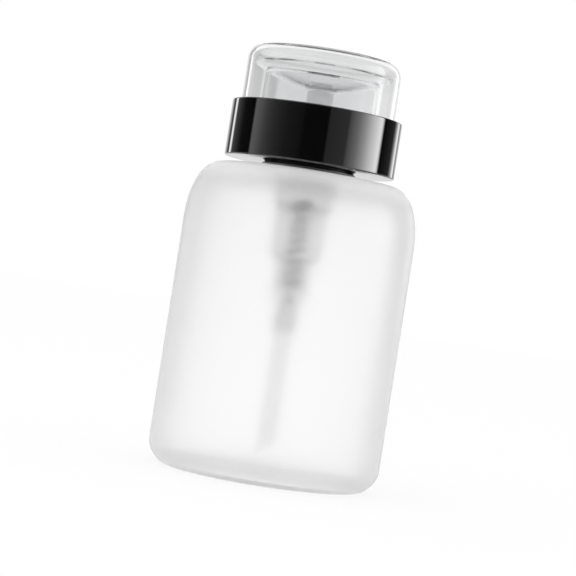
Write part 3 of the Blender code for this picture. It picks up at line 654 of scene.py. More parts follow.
def blocks_tree():
    """Sets equal blocks round Z."""
    tree, given, result = new_tree(
        "blocks_round_axis",
        "GeometryNodeTree",
        {"Count": "Int", "Size": "Vector", "Middle": "Vector", "Material": "Material"},
        {"Blocks": "Geometry"},
    )
    block = grow(tree, "GeometryNodeMeshCube", {"Size": given["Size"]})
    placed = grow(
        tree,
        "GeometryNodeTransform",
        {"Geometry": block.outputs["Mesh"], "Translation": given["Middle"]},
    )
    stations = grow(
        tree, "GeometryNodeMeshLine", {"Count": given["Count"], "Offset": (0.0, 0.0, 0.0)}
    )
    step = sum_up(tree, "DIVIDE", math.tau, given["Count"])
    index = grow(tree, "GeometryNodeInputIndex").outputs[0]
    turn = grow(
        tree, "FunctionNodeAxisAngleToRotation", {"Angle": sum_up(tree, "MULTIPLY", index, step)}
    )
    spread = grow(
        tree,
        "GeometryNodeInstanceOnPoints",
        {
            "Points": stations.outputs[0],
            "Instance": placed.outputs[0],
            "Rotation": turn.outputs[0],
        },
    )
    real = grow(tree, "GeometryNodeRealizeInstances", {"Geometry": spread.outputs[0]})
    painted = grow(
        tree,
        "GeometryNodeSetMaterial",
        {"Geometry": real.outputs[0], "Material": given["Material"]},
    )
    tree.links.new(painted.outputs[0], result["Blocks"])
    return tree


BLOCKS_ROUND_AXIS = blocks_tree()


def blocks(count, width, radii, heights, material):
    """The mesh of blocks between two radii and two heights, for keys, slots and notches."""
    return grown_mesh(
        bpy.data.meshes.new("none"),
        BLOCKS_ROUND_AXIS,
        {
            "Count": count,
            "Size": (radii[1] - radii[0], width, heights[1] - heights[0]),
            "Middle": (sum(radii) / 2, 0.0, sum(heights) / 2),
            "Material": material,
        },
    )


CAGE_RADIUS = FOOT_RADIUS - 0.0003
CAGE_BOTTOM = 0.0526
CAGE_TOP = 0.0534
CAGE_HOLE = 0.0013
cage_outline = rounded(
    [
        (CAGE_RADIUS, CAGE_TOP, 0.00015),
        (CAGE_RADIUS, CAGE_BOTTOM, 0.00015),
        (CAGE_HOLE, CAGE_BOTTOM, 0.0001),
        (CAGE_HOLE, CAGE_TOP, 0.0001),
    ],
    3,
)
cage_notches = blocks(
    3,
    0.0009,
    (CAGE_HOLE - 0.0004, CAGE_HOLE + 0.0011),
    (CAGE_BOTTOM - 0.0004, CAGE_TOP + 0.0004),
    natural,
)
finished(
    "ball_cage_ring",
    combined(turned(cage_outline, 64, natural), cage_notches, "DIFFERENCE"),
    "pump",
    "natural_plastic",
    "inlet_ball_cage",
)


# The return spring is a coil of drawn steel wire, dull from its heat treatment, with its first
# and last turns wound close. It stands on the ball's cage and pushes the piston rod's boss.

spring_steel = moulded_material(
    "drawn_spring_steel",
    (0.0006, 0.30, 0.06),
    0.05,
    (0.3, (0.12, 0.12, 0.124), (0.24, 0.24, 0.248)),
    {"Metallic": 1.0},
)


def coil_tree():
    """Winds a round wire up Z, with closer turns at both ends."""
    tree, given, result = new_tree(
        "wound_spring",
        "GeometryNodeTree",
        {
            "Turns": "Float",
            "Close Turns": "Float",
            "Close Pitch": "Float",
            "Points per Turn": "Int",
            "Mean Radius": "Float",
            "Wire Radius": "Float",
            "Bottom": "Float",
            "Top": "Float",
            "Material": "Material",
        },
        {"Coil": "Geometry"},
    )
    path = grow(
        tree,
        "GeometryNodeCurveSpiral",
        {
            "Resolution": given["Points per Turn"],
            "Rotations": given["Turns"],
            "Start Radius": given["Mean Radius"],
            "End Radius": given["Mean Radius"],
            "Height": 0.0,
            "Reverse": True,
        },
    )
    index = grow(tree, "GeometryNodeInputIndex").outputs[0]
    turn = sum_up(tree, "DIVIDE", index, given["Points per Turn"])
    last_starts = sum_up(tree, "SUBTRACT", given["Turns"], given["Close Turns"])
    first = sum_up(tree, "MINIMUM", turn, given["Close Turns"])
    last = sum_up(tree, "MAXIMUM", sum_up(tree, "SUBTRACT", turn, last_starts), 0.0)
    close = sum_up(tree, "ADD", first, last)
    close_rise = sum_up(tree, "MULTIPLY", close, given["Close Pitch"])
    open_turns = sum_up(tree, "SUBTRACT", last_starts, given["Close Turns"])
    both_close = sum_up(tree, "MULTIPLY", given["Close Turns"], 2.0)
    both_close_rise = sum_up(tree, "MULTIPLY", both_close, given["Close Pitch"])
    both_wires = sum_up(tree, "MULTIPLY", given["Wire Radius"], 2.0)
    height = sum_up(tree, "SUBTRACT", given["Top"], given["Bottom"])
    whole_rise = sum_up(tree, "SUBTRACT", height, both_wires)
    open_height = sum_up(tree, "SUBTRACT", whole_rise, both_close_rise)
    open_pitch = sum_up(tree, "DIVIDE", open_height, open_turns)
    open_rise = sum_up(tree, "MULTIPLY", sum_up(tree, "SUBTRACT", turn, close), open_pitch)
    start = sum_up(tree, "ADD", given["Bottom"], given["Wire Radius"])
    rise = sum_up(tree, "ADD", start, sum_up(tree, "ADD", close_rise, open_rise))
    lift = grow(tree, "ShaderNodeCombineXYZ", {"Z": rise})
    wound = grow(
        tree,
        "GeometryNodeSetPosition",
        {"Geometry": path.outputs[0], "Offset": lift.outputs[0]},
    )
    wire = grow(
        tree,
        "GeometryNodeCurvePrimitiveCircle",
        {"Resolution": 16, "Radius": given["Wire Radius"]},
    )
    coil = grow(
        tree,
        "GeometryNodeCurveToMesh",
        {"Curve": wound.outputs[0], "Profile Curve": wire.outputs[0], "Fill Caps": True},
    )
    end_tree(tree, coil.outputs[0], given["Material"], result["Coil"])
    return tree


SPRING_BOTTOM = 0.0537
SPRING_TOP = 0.0777
SPRING_TURNS = 9.0
COIL_RADIUS = 0.00272
WIRE_RADIUS = 0.00035
CLOSE_TURNS = 0.6
CLOSE_PITCH = 0.00115
spring_coil = grown_mesh(
    bpy.data.meshes.new("none"),
    coil_tree(),
    {
        "Turns": SPRING_TURNS,
        "Close Turns": CLOSE_TURNS,
        "Close Pitch": CLOSE_PITCH,
        "Points per Turn": 48,
        "Mean Radius": COIL_RADIUS,
        "Wire Radius": WIRE_RADIUS,
        "Bottom": SPRING_BOTTOM,
        "Top": SPRING_TOP,
        "Material": spring_steel,
    },
)
spring = finished("spring_coil", spring_coil, "pump", "steel", "return_spring")
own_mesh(spring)


# The piston rod is a hollow natural plastic tube. Its flange pushes the seal, its boss sits on
# the spring, and its top is bored wider for the outlet ball.

ROD_RADIUS = 0.0026
ROD_BORE = 0.0008
ROD_BOTTOM = 0.0750
ROD_TOP = 0.1084
ROD_SPIGOT = 0.00207
PUSHER_RADIUS = ROD_RADIUS + 0.0021
PUSHER_TOP = 0.0818
PUSHER_BOTTOM = 0.0806
BOSS_RADIUS = ROD_RADIUS + 0.0008
BOSS_BOTTOM = 0.0780
BALL_SEAT = 0.1036
BALL_BORE = 0.0017
ROD_IOR = 1.12
rod_outline = rounded(
    [
        (ROD_RADIUS, ROD_TOP, 0.0002),
        (ROD_RADIUS, PUSHER_TOP, 0.0002),
        (PUSHER_RADIUS, PUSHER_TOP, 0.0002),
        (PUSHER_RADIUS, PUSHER_BOTTOM, 0.0002),
        (BOSS_RADIUS, PUSHER_BOTTOM, 0.0002),
        (BOSS_RADIUS, BOSS_BOTTOM, 0.0002),
        (ROD_SPIGOT, BOSS_BOTTOM, 0.0002),
        (ROD_SPIGOT, ROD_BOTTOM, 0.0004),
        (ROD_BORE, ROD_BOTTOM, 0.0001),
        (ROD_BORE, BALL_SEAT, 0.0001),
        (BALL_BORE, BALL_SEAT + BALL_BORE - ROD_BORE, 0.0002),
        (BALL_BORE, ROD_TOP, 0.0001),
    ],
    3,
)
rod_plastic = natural.copy()
rod_plastic.name = "natural_rod_plastic"
rod_plastic.node_tree.nodes["Principled BSDF"].inputs["IOR"].default_value = ROD_IOR
rod_mesh = turned(rod_outline, 64, rod_plastic)
finished("hollow_rod", rod_mesh, "plunger", "natural_plastic", "piston_rod")


# The piston seal is a soft ring round the rod, with a thin lip at each end that wipes the bore.

soft_plastic = moulded_material(
    "soft_seal_plastic",
    (0.0012, 0.45, 0.06),
    0.10,
    (0.3, (0.95, 0.95, 0.945), (0.93, 0.93, 0.925)),
    {"IOR": 1.3, "Transmission Weight": 0.2},
)
SEAL_RADIUS = 0.0066
SEAL_WAIST = 0.0057
SEAL_BORE = 0.0029
SEAL_CORE = 0.0041
SEAL_BOTTOM = 0.0821
SEAL_TOP = 0.0871
LIP_HEIGHT = 0.0010
seal_outline = rounded(
    [
        (SEAL_CORE, SEAL_TOP - LIP_HEIGHT, 0.00015),
        (SEAL_WAIST, SEAL_TOP - LIP_HEIGHT),
        (SEAL_RADIUS, SEAL_TOP),
        (SEAL_RADIUS, SEAL_TOP - LIP_HEIGHT, 0.0003),
        (SEAL_WAIST, SEAL_TOP - 2 * LIP_HEIGHT, 0.0004),
        (SEAL_WAIST, SEAL_BOTTOM + 2 * LIP_HEIGHT, 0.0004),
        (SEAL_RADIUS, SEAL_BOTTOM + LIP_HEIGHT, 0.0003),
        (SEAL_RADIUS, SEAL_BOTTOM),
        (SEAL_WAIST, SEAL_BOTTOM + LIP_HEIGHT),
        (SEAL_CORE, SEAL_BOTTOM + LIP_HEIGHT, 0.00015),
        (SEAL_CORE, SEAL_BOTTOM, 0.0001),
        (SEAL_BORE, SEAL_BOTTOM, 0.0001),
        (SEAL_BORE, SEAL_TOP, 0.0001),
        (SEAL_CORE, SEAL_TOP, 0.0001),
    ],
    3,
)
seal_mesh = turned(seal_outline, 96, soft_plastic)
finished("lip_seal", seal_mesh, "piston", "seal_plastic", "piston_seal")


# The stem guide is white plastic and closes the barrel. Its flange is clamped under the screw
# cap, its sleeve stops the piston at the top, and its nose guides the dish's tube.

white_plastic = moulded_material(
    "white_guide_plastic",
    (0.0012, 0.35, 0.06),
    0.08,
    (0.3, (0.93, 0.93, 0.92), (0.88, 0.88, 0.87)),
    {"IOR": 1.35, "Transmission Weight": 0.2},
)
GUIDE_BORE = 0.0040
GUIDE_NOSE = 0.0047
GUIDE_TOP = 0.1014
GUIDE_FLANGE_RADIUS = 0.0094
GUIDE_FLANGE_TOP = 0.0990
GUIDE_FLANGE_BOTTOM = 0.0982
SLEEVE_RADIUS = 0.0066
SLEEVE_BOTTOM = 0.0874
guide_outline = rounded(
    [
        (GUIDE_NOSE, GUIDE_TOP, 0.0002),
        (GUIDE_NOSE, GUIDE_FLANGE_TOP, 0.0002),
        (GUIDE_FLANGE_RADIUS, GUIDE_FLANGE_TOP, 0.0002),
        (GUIDE_FLANGE_RADIUS, GUIDE_FLANGE_BOTTOM, 0.0002),
        (SLEEVE_RADIUS, GUIDE_FLANGE_BOTTOM, 0.0002),
        (SLEEVE_RADIUS, SLEEVE_BOTTOM, 0.0003),
        (GUIDE_BORE, SLEEVE_BOTTOM, 0.0002),
        (GUIDE_BORE, GUIDE_TOP, 0.0002),
    ],
    3,
)
guide_mesh = turned(guide_outline, 96, white_plastic)
finished("guide_sleeve", guide_mesh, "pump", "natural_plastic", "stem_guide")


# The gasket is a washer stamped from white foam sheet. The screw cap clamps it between the top of
# the neck and the pump's flange, where it seals.

foam = moulded_material(
    "foam_sheet",
    (0.00035, 0.85, 0.1),
    0.9,
    (0.3, (0.86, 0.86, 0.84), (0.80, 0.80, 0.78)),
    {"IOR": 1.4, "Specular IOR Level": 0.3},
)
GASKET_RADIUS = 0.0097
GASKET_BORE = 0.0084
GASKET_TOP = 0.0966
GASKET_BOTTOM = 0.0956
gasket_outline = rounded(
    [
        (GASKET_RADIUS, GASKET_TOP, 0.00012),
        (GASKET_RADIUS, GASKET_BOTTOM, 0.00012),
        (GASKET_BORE, GASKET_BOTTOM, 0.00012),
        (GASKET_BORE, GASKET_TOP, 0.00012),
    ],
    3,
)
finished("foam_washer", turned(gasket_outline, 96, foam), "pump", "foam_gasket", "neck_gasket")


# The dip tube is extruded natural plastic, pushed into the barrel's socket. It is cut at a slant
# near the bottle's floor, so that it can't seal against it.

TUBE_RADIUS = 0.00225
TUBE_BORE = 0.00155
TUBE_TOP = 0.046989
TUBE_BOTTOM = 0.0069
TUBE_CUT = math.tan(math.radians(35))
tube_mesh = turned(
    rounded(
        [
            (TUBE_RADIUS, TUBE_TOP, 0.0001),
            (TUBE_RADIUS, TUBE_BOTTOM, 0.00008),
            (TUBE_BORE, TUBE_BOTTOM, 0.00008),
            (TUBE_BORE, TUBE_TOP, 0.0001),
        ],
        2,
    ),
    64,
    natural,
)
for vertex in tube_mesh.vertices:
    if vertex.co.z < TUBE_BOTTOM + 0.001:
        vertex.co.z += (vertex.co.x + TUBE_RADIUS) * TUBE_CUT
finished("suction_tube", tube_mesh, "pump", "natural_plastic", "dip_tube")


# The outlet valve is a smaller polished steel ball, loose on its seat in the bored top of the
# piston rod. It keeps the liquid in the dish from running back.

OUTLET_BALL_RADIUS = 0.0013
OUTLET_BALL_HEIGHT = 0.105063
ball("outlet_valve_ball", OUTLET_BALL_RADIUS, OUTLET_BALL_HEIGHT, "outlet_ball", "outlet_ball")


# The screw cap is satin black. Only the foot of its skirt shows, a narrow drum with a raised
# bead between the collar and the shoulder. Six keys on it lock into the collar's tower.

satin_black = moulded_material(
    "satin_black_polypropylene",
    (0.0012, 0.20, 0.04),
    0.04,
    (0.3, (0.003, 0.003, 0.0034), (0.003, 0.003, 0.0034)),
    {"IOR": 1.75},
)
CAP_RADIUS = 0.01235
CAP_BORE = 0.0111
CAP_BOTTOM = 0.08618
CAP_TOP = 0.1006
CAP_BEAD = 0.01315
CAP_HOLE = 0.0050
CAP_CEILING = 0.0993
KEY_WIDTH = 0.0014
KEY_REACH = 0.0006
KEY_TOP = CAP_TOP - 0.0012
KEY_BOTTOM = KEY_TOP - 0.0090
cap_outline = rounded(
    [
        (CAP_HOLE, CAP_TOP, 0.0002),
        (CAP_RADIUS, CAP_TOP, 0.0005),
        (CAP_RADIUS, CAP_BOTTOM + 0.0010, 0.0001),
        (CAP_BEAD, CAP_BOTTOM + 0.00065, 0.00012),
        (CAP_BEAD, CAP_BOTTOM + 0.00035, 0.00012),
        (CAP_RADIUS, CAP_BOTTOM, 0.0001),
        (CAP_BORE, CAP_BOTTOM, 0.0001),
        (CAP_BORE, CAP_CEILING, 0.0003),
        (CAP_HOLE, CAP_CEILING, 0.0001),
    ],
    4,
)
cap_thread = thread(
    -(THREAD_DEPTH + THREAD_SUNK),
    CAP_BORE + THREAD_SUNK,
    THREAD_START - THREAD_LEAD / 2,
    satin_black,
)
cap_keys = blocks(
    6,
    KEY_WIDTH,
    (CAP_RADIUS - 0.0004, CAP_RADIUS + KEY_REACH),
    (KEY_BOTTOM, KEY_TOP),
    satin_black,
)
cap_mesh = combined(turned(cap_outline, 128, satin_black), cap_thread, "UNION")
cap_mesh = combined(cap_mesh, cap_keys, "UNION")
finished("screw_cap_drum", cap_mesh, "collar", "black_plastic", "screw_cap")


# The outer collar is injection-moulded with a piano-gloss finish. Its ring hides the pump's
# flange and takes the overcap's skirt on a ledge; its inner tower snaps over the screw cap. Its
# underside is a little less polished than its sides.

gloss_black = moulded_material(
    "piano_black",
    (0.0012, 0.03, 0.01),
    0.02,
    (0.3, (0.003, 0.003, 0.0034), (0.003, 0.003, 0.0034)),
    {"IOR": 1.75},
)
COLLAR_RADIUS = 0.02394
COLLAR_BORE = 0.0219
COLLAR_BOTTOM = 0.08731
COLLAR_TOP = 0.10301
COLLAR_FLOOR_TOP = 0.08871
UNDERSIDE_ROUGHNESS = 0.06
TOWER_BORE = 0.01265
TOWER_RADIUS = 0.01385
TOWER_LIP = 0.0010
TOWER_SNAP = 0.1009
TOWER_TOP = 0.1017
LEDGE_TOP = 0.09401
LEDGE_BOTTOM = LEDGE_TOP - 0.0012
LEDGE_BORE = 0.0207
KEY_GAP = 0.0003
tree = gloss_black.node_tree
underside = sum_up(tree, "LESS_THAN", own_place(tree)[1], COLLAR_BOTTOM + 0.00002)
roughen(gloss_black, underside, UNDERSIDE_ROUGHNESS)
collar_outline = rounded(
    [
        (COLLAR_BORE, COLLAR_TOP, 0.0003),
        (COLLAR_RADIUS, COLLAR_TOP, 0.00035),
        (COLLAR_RADIUS, COLLAR_BOTTOM, 0.00035),
        (TOWER_BORE, COLLAR_BOTTOM, 0.0002),
        (TOWER_BORE, TOWER_SNAP, 0.0001),
        (TOWER_BORE - TOWER_LIP, TOWER_SNAP, 0.0002),
        (TOWER_BORE - TOWER_LIP, TOWER_TOP, 0.0002),
        (TOWER_RADIUS, TOWER_TOP, 0.0003),
        (TOWER_RADIUS, COLLAR_FLOOR_TOP, 0.0003),
        (COLLAR_BORE, COLLAR_FLOOR_TOP, 0.0003),
        (COLLAR_BORE, LEDGE_BOTTOM, 0.0002),
        (LEDGE_BORE, LEDGE_BOTTOM, 0.0002),
        (LEDGE_BORE, LEDGE_TOP, 0.0002),
        (COLLAR_BORE, LEDGE_TOP, 0.0002),
    ]
)
key_slots = blocks(
    6,
    KEY_WIDTH + 2 * KEY_GAP,
    (TOWER_BORE - 0.0004, CAP_RADIUS + KEY_REACH + KEY_GAP),
    (KEY_BOTTOM - KEY_GAP, KEY_TOP + KEY_GAP),
    gloss_black,
)
finished(
    "collar_ring",
    combined(turned(collar_outline, 160, gloss_black), key_slots, "DIFFERENCE"),
    "collar",
    "black_plastic",
    "outer_collar",
)


# The press dish is one clear moulding: a shallow bowl with a thin rim, a skirt that hides the
# collar's tower, and a tube that fits over the piston rod.

DISH_RADIUS = 0.0195
DISH_BOTTOM = 0.1087
BOWL_OUTER = 0.0390
BOWL_INNER = 0.0378
BOWL_CENTRE = DISH_BOTTOM + BOWL_OUTER
RIM_TOP = 0.115025
RIM_INNER = 0.0184
SKIRT_RADIUS = 0.0161
SKIRT_BORE = 0.0151
SKIRT_BOTTOM = 0.097378
HUB_RADIUS = 0.0037
HUB_BORE = 0.0029
HUB_BOTTOM = 0.0912
NOZZLE_HOLE = 0.0016
HUB_HAZE = (0.95, 0.953, 0.956)
HUB_ROUGHNESS = 0.45
# Points of the bowl beside its rim, skirt and hub, where their roundings take their direction.
BESIDE_RIM = 0.0170
BESIDE_SKIRT = 0.0140
BESIDE_HUB = 0.0045


def bowl_height(radius, sphere):
    """Height of one of the bowl's two spheres at a radius."""
    return BOWL_CENTRE - math.sqrt(sphere**2 - radius**2)


def bowl(start, end, sphere, steps):
    """Points of the bowl between two radii."""
    radii = (start + (end - start) * step / steps for step in range(steps + 1))
    return [Vector((radius, bowl_height(radius, sphere))) for radius in radii]


clear_dish = moulded_material(
    "clear_polystyrene",
    (0.004, 0.09, 0.02),
    0.03,
    (0.5, (0.92, 0.923, 0.926), (0.94, 0.943, 0.946)),
    {"IOR": 1.15, "Transmission Weight": 1.0},
)
tree = clear_dish.node_tree
colour = tree.nodes["Principled BSDF"].inputs["Base Color"]
place, height = own_place(tree)
flat = grow(
    tree, "ShaderNodeVectorMath", {0: place, 1: (1.0, 1.0, 0.0)}, operation="MULTIPLY"
).outputs[0]
radius = grow(tree, "ShaderNodeVectorMath", {0: flat}, operation="LENGTH").outputs["Value"]
hub = sum_up(
    tree,
    "MULTIPLY",
    sum_up(tree, "LESS_THAN", radius, HUB_RADIUS + 0.0001),
    sum_up(tree, "LESS_THAN", height, DISH_BOTTOM),
)
clouded = grow(
    tree,
    "ShaderNodeMix",
    {0: hub, 6: colour.links[0].from_socket, 7: (*HUB_HAZE, 1)},
    data_type="RGBA",
)
tree.links.new(clouded.outputs[2], colour)
middle = sum_up(tree, "LESS_THAN", radius, HUB_RADIUS + 0.0008)
roughen(clear_dish, middle, HUB_ROUGHNESS)
dish_outline = (
    bowl(NOZZLE_HOLE, RIM_INNER, BOWL_INNER, 24)[:-1]
    + rounded(
        [
            (BESIDE_RIM, bowl_height(BESIDE_RIM, BOWL_INNER)),
            (RIM_INNER, bowl_height(RIM_INNER, BOWL_INNER), 0.00008),
            (RIM_INNER, RIM_TOP, 0.00012),
            (DISH_RADIUS, RIM_TOP, 0.0003),
            (DISH_RADIUS, bowl_height(DISH_RADIUS, BOWL_OUTER), 0.0004),
            (SKIRT_RADIUS, bowl_height(SKIRT_RADIUS, BOWL_OUTER), 0.0002),
            (SKIRT_RADIUS, SKIRT_BOTTOM, 0.0003),
            (SKIRT_BORE, SKIRT_BOTTOM, 0.0003),
            (SKIRT_BORE, bowl_height(SKIRT_BORE, BOWL_OUTER), 0.0002),
            (BESIDE_SKIRT, bowl_height(BESIDE_SKIRT, BOWL_OUTER)),
        ],
        4,
    )[1:-1]
    + bowl(BESIDE_SKIRT, BESIDE_HUB, BOWL_OUTER, 12)
    + rounded(
        [
            (BESIDE_HUB, bowl_height(BESIDE_HUB, BOWL_OUTER)),
            (HUB_RADIUS, bowl_height(HUB_RADIUS, BOWL_OUTER), 0.0003),
            (HUB_RADIUS, HUB_BOTTOM, 0.0002),
            (HUB_BORE, HUB_BOTTOM, 0.0002),
            (HUB_BORE, DISH_BOTTOM, 0.0002),
            (NOZZLE_HOLE, DISH_BOTTOM, 0.0001),
            (NOZZLE_HOLE, bowl_height(NOZZLE_HOLE, BOWL_INNER)),
        ],
        4,
    )[1:-1]
)
dish_mesh = turned(dish_outline, 160, clear_dish)
finished("dish_bowl", dish_mesh, "plunger", "clear_plastic", "press_dish")


# The nozzle insert is a clear button in the middle of the dish, with the outlet hole through it
# and two slots across its lower end.

OUTLET_RADIUS = 0.0005
BUTTON_RADIUS = 0.0030
BUTTON_TOP = 0.11122
BUTTON_BOTTOM = 0.11042
SHANK_RADIUS = 0.0013
SHANK_BOTTOM = 0.10746
insert_outline = rounded(
    [
        (OUTLET_RADIUS, BUTTON_TOP, 0.0001),
        (BUTTON_RADIUS, BUTTON_TOP, 0.0003),
        (BUTTON_RADIUS, BUTTON_BOTTOM, 0.0001),
        (SHANK_RADIUS, BUTTON_BOTTOM, 0.0001),
        (SHANK_RADIUS, SHANK_BOTTOM, 0.0001),
        (OUTLET_RADIUS, SHANK_BOTTOM, 0.0001),
    ],
    3,
)
insert_slots = blocks(
    2,
    0.0006,
    (0.0001, SHANK_RADIUS + 0.0004),
    (SHANK_BOTTOM - 0.0004, SHANK_BOTTOM + 0.0005),
    clear_dish,
)
finished(
    "nozzle_button",
    combined(turned(insert_outline, 64, clear_dish), insert_slots, "DIFFERENCE"),
    "plunger",
    "clear_plastic",
    "nozzle_insert",
)


# The overcap is a clear, polished dome with an almost flat top. Its skirt slides into the collar
# and stops on the ledge.

DOME_TOP = 0.119125
DOME_CEILING = 0.117925
DOME_SAG = 0.00015
DOME_RADIUS = 0.0216
DOME_BORE = 0.0203
DOME_BOTTOM = 0.09431
CORNER_REACH = 0.0034
CORNER_DROP = 0.0039
CORNER_FACETS = 20
ROUND_POWER = 2.0
SKIRT_SUPPORT = 0.1
clear_dome = moulded_material(
    "clear_dome_plastic",
    (0.004, 0.04, 0.01),
    0.03,
    (0.5, (0.92, 0.922, 0.924), (0.96, 0.962, 0.964)),
    {"IOR": 1.27, "Transmission Weight": 1.0},
)
corner_centre = (DOME_RADIUS - CORNER_REACH, DOME_TOP - DOME_SAG - CORNER_DROP)
corner_outer = squared_arc(
    corner_centre, (CORNER_REACH, CORNER_DROP), 90, 0, ROUND_POWER, CORNER_FACETS
)
corner_inner = squared_arc(
    corner_centre,
    (CORNER_REACH - (DOME_RADIUS - DOME_BORE), CORNER_DROP - (DOME_TOP - DOME_CEILING)),
    0,
    90,
    ROUND_POWER,
    CORNER_FACETS,
)


def almost_flat(middle):
    """Points of the dome's top or ceiling, from the axis out to the corner."""
    return [
        Vector((0, middle)),
        Vector((0.009, middle - 0.00004)),
        Vector((0.0175, middle - DOME_SAG + 0.00001)),
    ]


dome_outline = (
    almost_flat(DOME_TOP)
    + corner_outer
    + [Vector((DOME_RADIUS, corner_centre[1] - 0.0003))]
    + rounded(
        [
            (DOME_RADIUS, SKIRT_SUPPORT),
            (DOME_RADIUS, DOME_BOTTOM, 0.0004),
            (DOME_BORE, DOME_BOTTOM, 0.0004),
            (DOME_BORE, SKIRT_SUPPORT),
        ]
    )[1:-1]
    + [Vector((DOME_BORE, corner_centre[1] - 0.0003))]
    + corner_inner
    + almost_flat(DOME_CEILING)[::-1]
)
finished(
    "overcap_dome",
    turned(dome_outline, 160, clear_dome, closed=False),
    "overcap",
    "clear_plastic",
    "overcap",
)


# The studio: a white floor and backdrop, a soft key light, and the camera where the
# photograph was taken, level with the middle of the bottle and rolled to the left.

CAMERA_DISTANCE = 0.5316
CAMERA_HEIGHT = 0.05314
CAMERA_SIDE = -0.00059
CAMERA_ROLL = math.radians(8.9)
camera_data = bpy.data.cameras.new("camera")
camera_data.sensor_width = 36
camera_data.lens = 118.75
camera = bpy.data.objects.new("camera", camera_data)
scene.collection.objects.link(camera)
camera.matrix_world = (
    Matrix.Translation((CAMERA_SIDE, -CAMERA_DISTANCE, CAMERA_HEIGHT))
    @ Matrix.Rotation(math.pi / 2, 4, "X")
    @ Matrix.Rotation(CAMERA_ROLL, 4, "Z")
)
scene.camera = camera
scene.cycles.max_bounces = 28
scene.cycles.transmission_bounces = 24
scene.cycles.glossy_bounces = 16


def stepped(tree, value, half, stops):
    """Brightness along a value that runs from minus half to half, from pairs of both."""
    share = grow(
        tree, "ShaderNodeMapRange", {"Value": value, "From Min": -half, "From Max": half}
    )
    ramp = grow(tree, "ShaderNodeValToRGB", {0: share.outputs[0]})
    while len(ramp.color_ramp.elements) < len(stops):
        ramp.color_ramp.elements.new(0.5)
    for element, (at, level) in zip(ramp.color_ramp.elements, stops):
        element.position = (at / half + 1) / 2
        element.color = (level, level, level, 1)
    return ramp.outputs[0]


# The gloss of the collar mirrors a ring of studio panels: pairs of direction, in degrees from
# the front round to the right, and brightness. Above and below them the studio is white.
PANEL_GAIN = 7.5
PANELS_END = 0.35
WHITE_FROM = 0.6
PANELS = [
    (-158, 0.13),
    (-150, 0.02),
    (-144, 0.03),
    (-141, 0.5),
    (-137.5, 0.5),
    (-134, 0.04),
    (-112, 0.003),
    (-92.5, 0.0),
    (-89.5, 0.14),
    (-82, 0.115),
    (-70, 0.06),
    (-59, 0.034),
    (-48, 0.02),
    (-38, 0.011),
    (-17, 0.004),
    (-15, 0.0),
    (16, 0.0),
    (18, 0.025),
    (44, 0.038),
    (46, 0.085),
    (59, 0.21),
    (70, 0.41),
    (82, 0.72),
    (97, 1.0),
    (99.5, 0.85),
    (103.8, 0.0),
    (131, 0.015),
    (138, 0.14),
    (144, 0.36),
    (149, 0.36),
    (153, 0.07),
    (160, 0.12),
]
world = bpy.data.worlds.new("studio")
world.use_nodes = True
scene.world = world
tree = world.node_tree
ray = grow(tree, "ShaderNodeLightPath").outputs
place = grow(tree, "ShaderNodeTexCoord")
axes = grow(tree, "ShaderNodeSeparateXYZ", {0: place.outputs["Generated"]})
turn = sum_up(
    tree, "ARCTAN2", axes.outputs["X"], sum_up(tree, "MULTIPLY", axes.outputs["Y"], -1.0)
)
panels = stepped(tree, sum_up(tree, "DEGREES", turn), 180, PANELS)
white_band = ease(tree, sum_up(tree, "ABSOLUTE", axes.outputs["Z"]), PANELS_END, WHITE_FROM)
mirrored = grow(
    tree,
    "ShaderNodeMix",
    {0: white_band, 2: sum_up(tree, "MULTIPLY", panels, PANEL_GAIN), 3: 1.0},
)
lit = grow(tree, "ShaderNodeMix", {0: ray["Is Glossy Ray"], 2: 1.0, 3: mirrored.outputs[0]})
through = sum_up(tree, "GREATER_THAN", ray["Transmission Depth"], 0.5)
seen = sum_up(tree, "MAXIMUM", ray["Is Camera Ray"], through)

# The dome shows pale cards that stand far behind it, the greyest of them on its left: pairs of
# sideways direction, as a sine, and brightness. They stand between two heights, also sines, and
# fade a little upwards.
CARD_START = 0.07
CARD_FULL = 0.088
CARD_END = 0.3
CARD_FADE_START = 0.106
CARD_FADE_END = 0.126
CARD_FADED = 0.84
CARD_HALF = 0.6
CARD = [
    (-0.56, 1.0),
    (-0.50, 0.6),
    (-0.10, 0.6),
    (-0.085, 0.90),
    (0.03, 0.90),
    (0.095, 0.96),
    (0.11, 0.87),
    (0.30, 0.87),
    (0.36, 1.0),
]
card = stepped(tree, axes.outputs["X"], CARD_HALF, CARD)
on_card = ease(tree, axes.outputs["Z"], CARD_START, CARD_FULL)
below = sum_up(tree, "LESS_THAN", axes.outputs["Z"], CARD_END)
ahead = sum_up(tree, "GREATER_THAN", axes.outputs["Y"], 0.0)
for limit in (below, ahead, through):
    on_card = sum_up(tree, "MULTIPLY", on_card, limit)
fading = grow(
    tree,
    "ShaderNodeMapRange",
    {
        "Value": axes.outputs["Z"],
        "From Min": CARD_FADE_START,
        "From Max": CARD_FADE_END,
        "To Min": 1.0,
        "To Max": CARD_FADED,
    },
)
card_level = sum_up(tree, "MULTIPLY", card, fading.outputs[0])
backdrop = grow(tree, "ShaderNodeMix", {0: on_card, 2: 1.0, 3: card_level})
final = grow(tree, "ShaderNodeMix", {0: seen, 2: lit.outputs[0], 3: backdrop.outputs[0]})
background = tree.nodes["Background"]
background.inputs["Color"].default_value = (1, 1, 1, 1)
tree.links.new(final.outputs[0], background.inputs["Strength"])

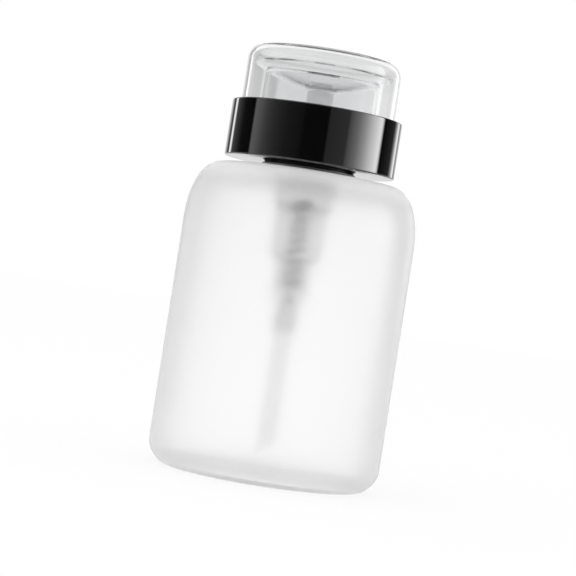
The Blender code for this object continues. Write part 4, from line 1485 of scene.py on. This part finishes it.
# A square softbox hangs above the left and gives the bottle its soft shading and shadow.
KEY_SIZE = 0.5
KEY_POWER = 0.6
KEY_AIM = Vector((0, 0, 0.05))
key_data = bpy.data.lights.new("key_softbox", "AREA")
key_data.shape = "RECTANGLE"
key_data.size = KEY_SIZE
key_data.size_y = KEY_SIZE
key_data.energy = KEY_POWER
key = bpy.data.objects.new("key_softbox", key_data)
scene.collection.objects.link(key)
key.location = (-0.35, -0.35, 0.65)
key.rotation_euler = (KEY_AIM - key.location).to_track_quat("-Z", "Y").to_euler()

# The floor is white and matt, and it glows for every ray that shows it, so that it meets the
# white backdrop without a line.
FLOOR_HALF = 3
FLOOR_DROP = 0.0002
FLOOR_WHITE = 0.95
GLOW_SHARE = 0.85
floor_mesh = bpy.data.meshes.new("floor")
corners = [(x * FLOOR_HALF, y * FLOOR_HALF, 0) for x, y in ((-1, -1), (1, -1), (1, 1), (-1, 1))]
floor_mesh.from_pydata(corners, [], [(0, 1, 2, 3)])
floor = bpy.data.objects.new("floor", floor_mesh)
floor.location.z = -FLOOR_DROP
scene.collection.objects.link(floor)
white = bpy.data.materials.new("floor_white")
white.use_nodes = True
tree = white.node_tree
shader = tree.nodes["Principled BSDF"]
shader.inputs["Base Color"].default_value = (FLOOR_WHITE, FLOOR_WHITE, FLOOR_WHITE, 1)
shader.inputs["Roughness"].default_value = 0.8
shader.inputs["Specular IOR Level"].default_value = 0.0
glow = grow(tree, "ShaderNodeEmission", {"Strength": 1.0})
ray = grow(tree, "ShaderNodeLightPath").outputs
seen = sum_up(
    tree,
    "MAXIMUM",
    sum_up(tree, "MAXIMUM", ray["Is Camera Ray"], ray["Is Glossy Ray"]),
    ray["Is Transmission Ray"],
)
both = grow(
    tree,
    "ShaderNodeMixShader",
    {0: sum_up(tree, "MULTIPLY", seen, GLOW_SHARE), 1: shader.outputs[0], 2: glow.outputs[0]},
)
tree.links.new(both.outputs[0], tree.nodes["Material Output"].inputs["Surface"])
floor_mesh.materials.append(white)

scene.view_settings.view_transform = "Standard"
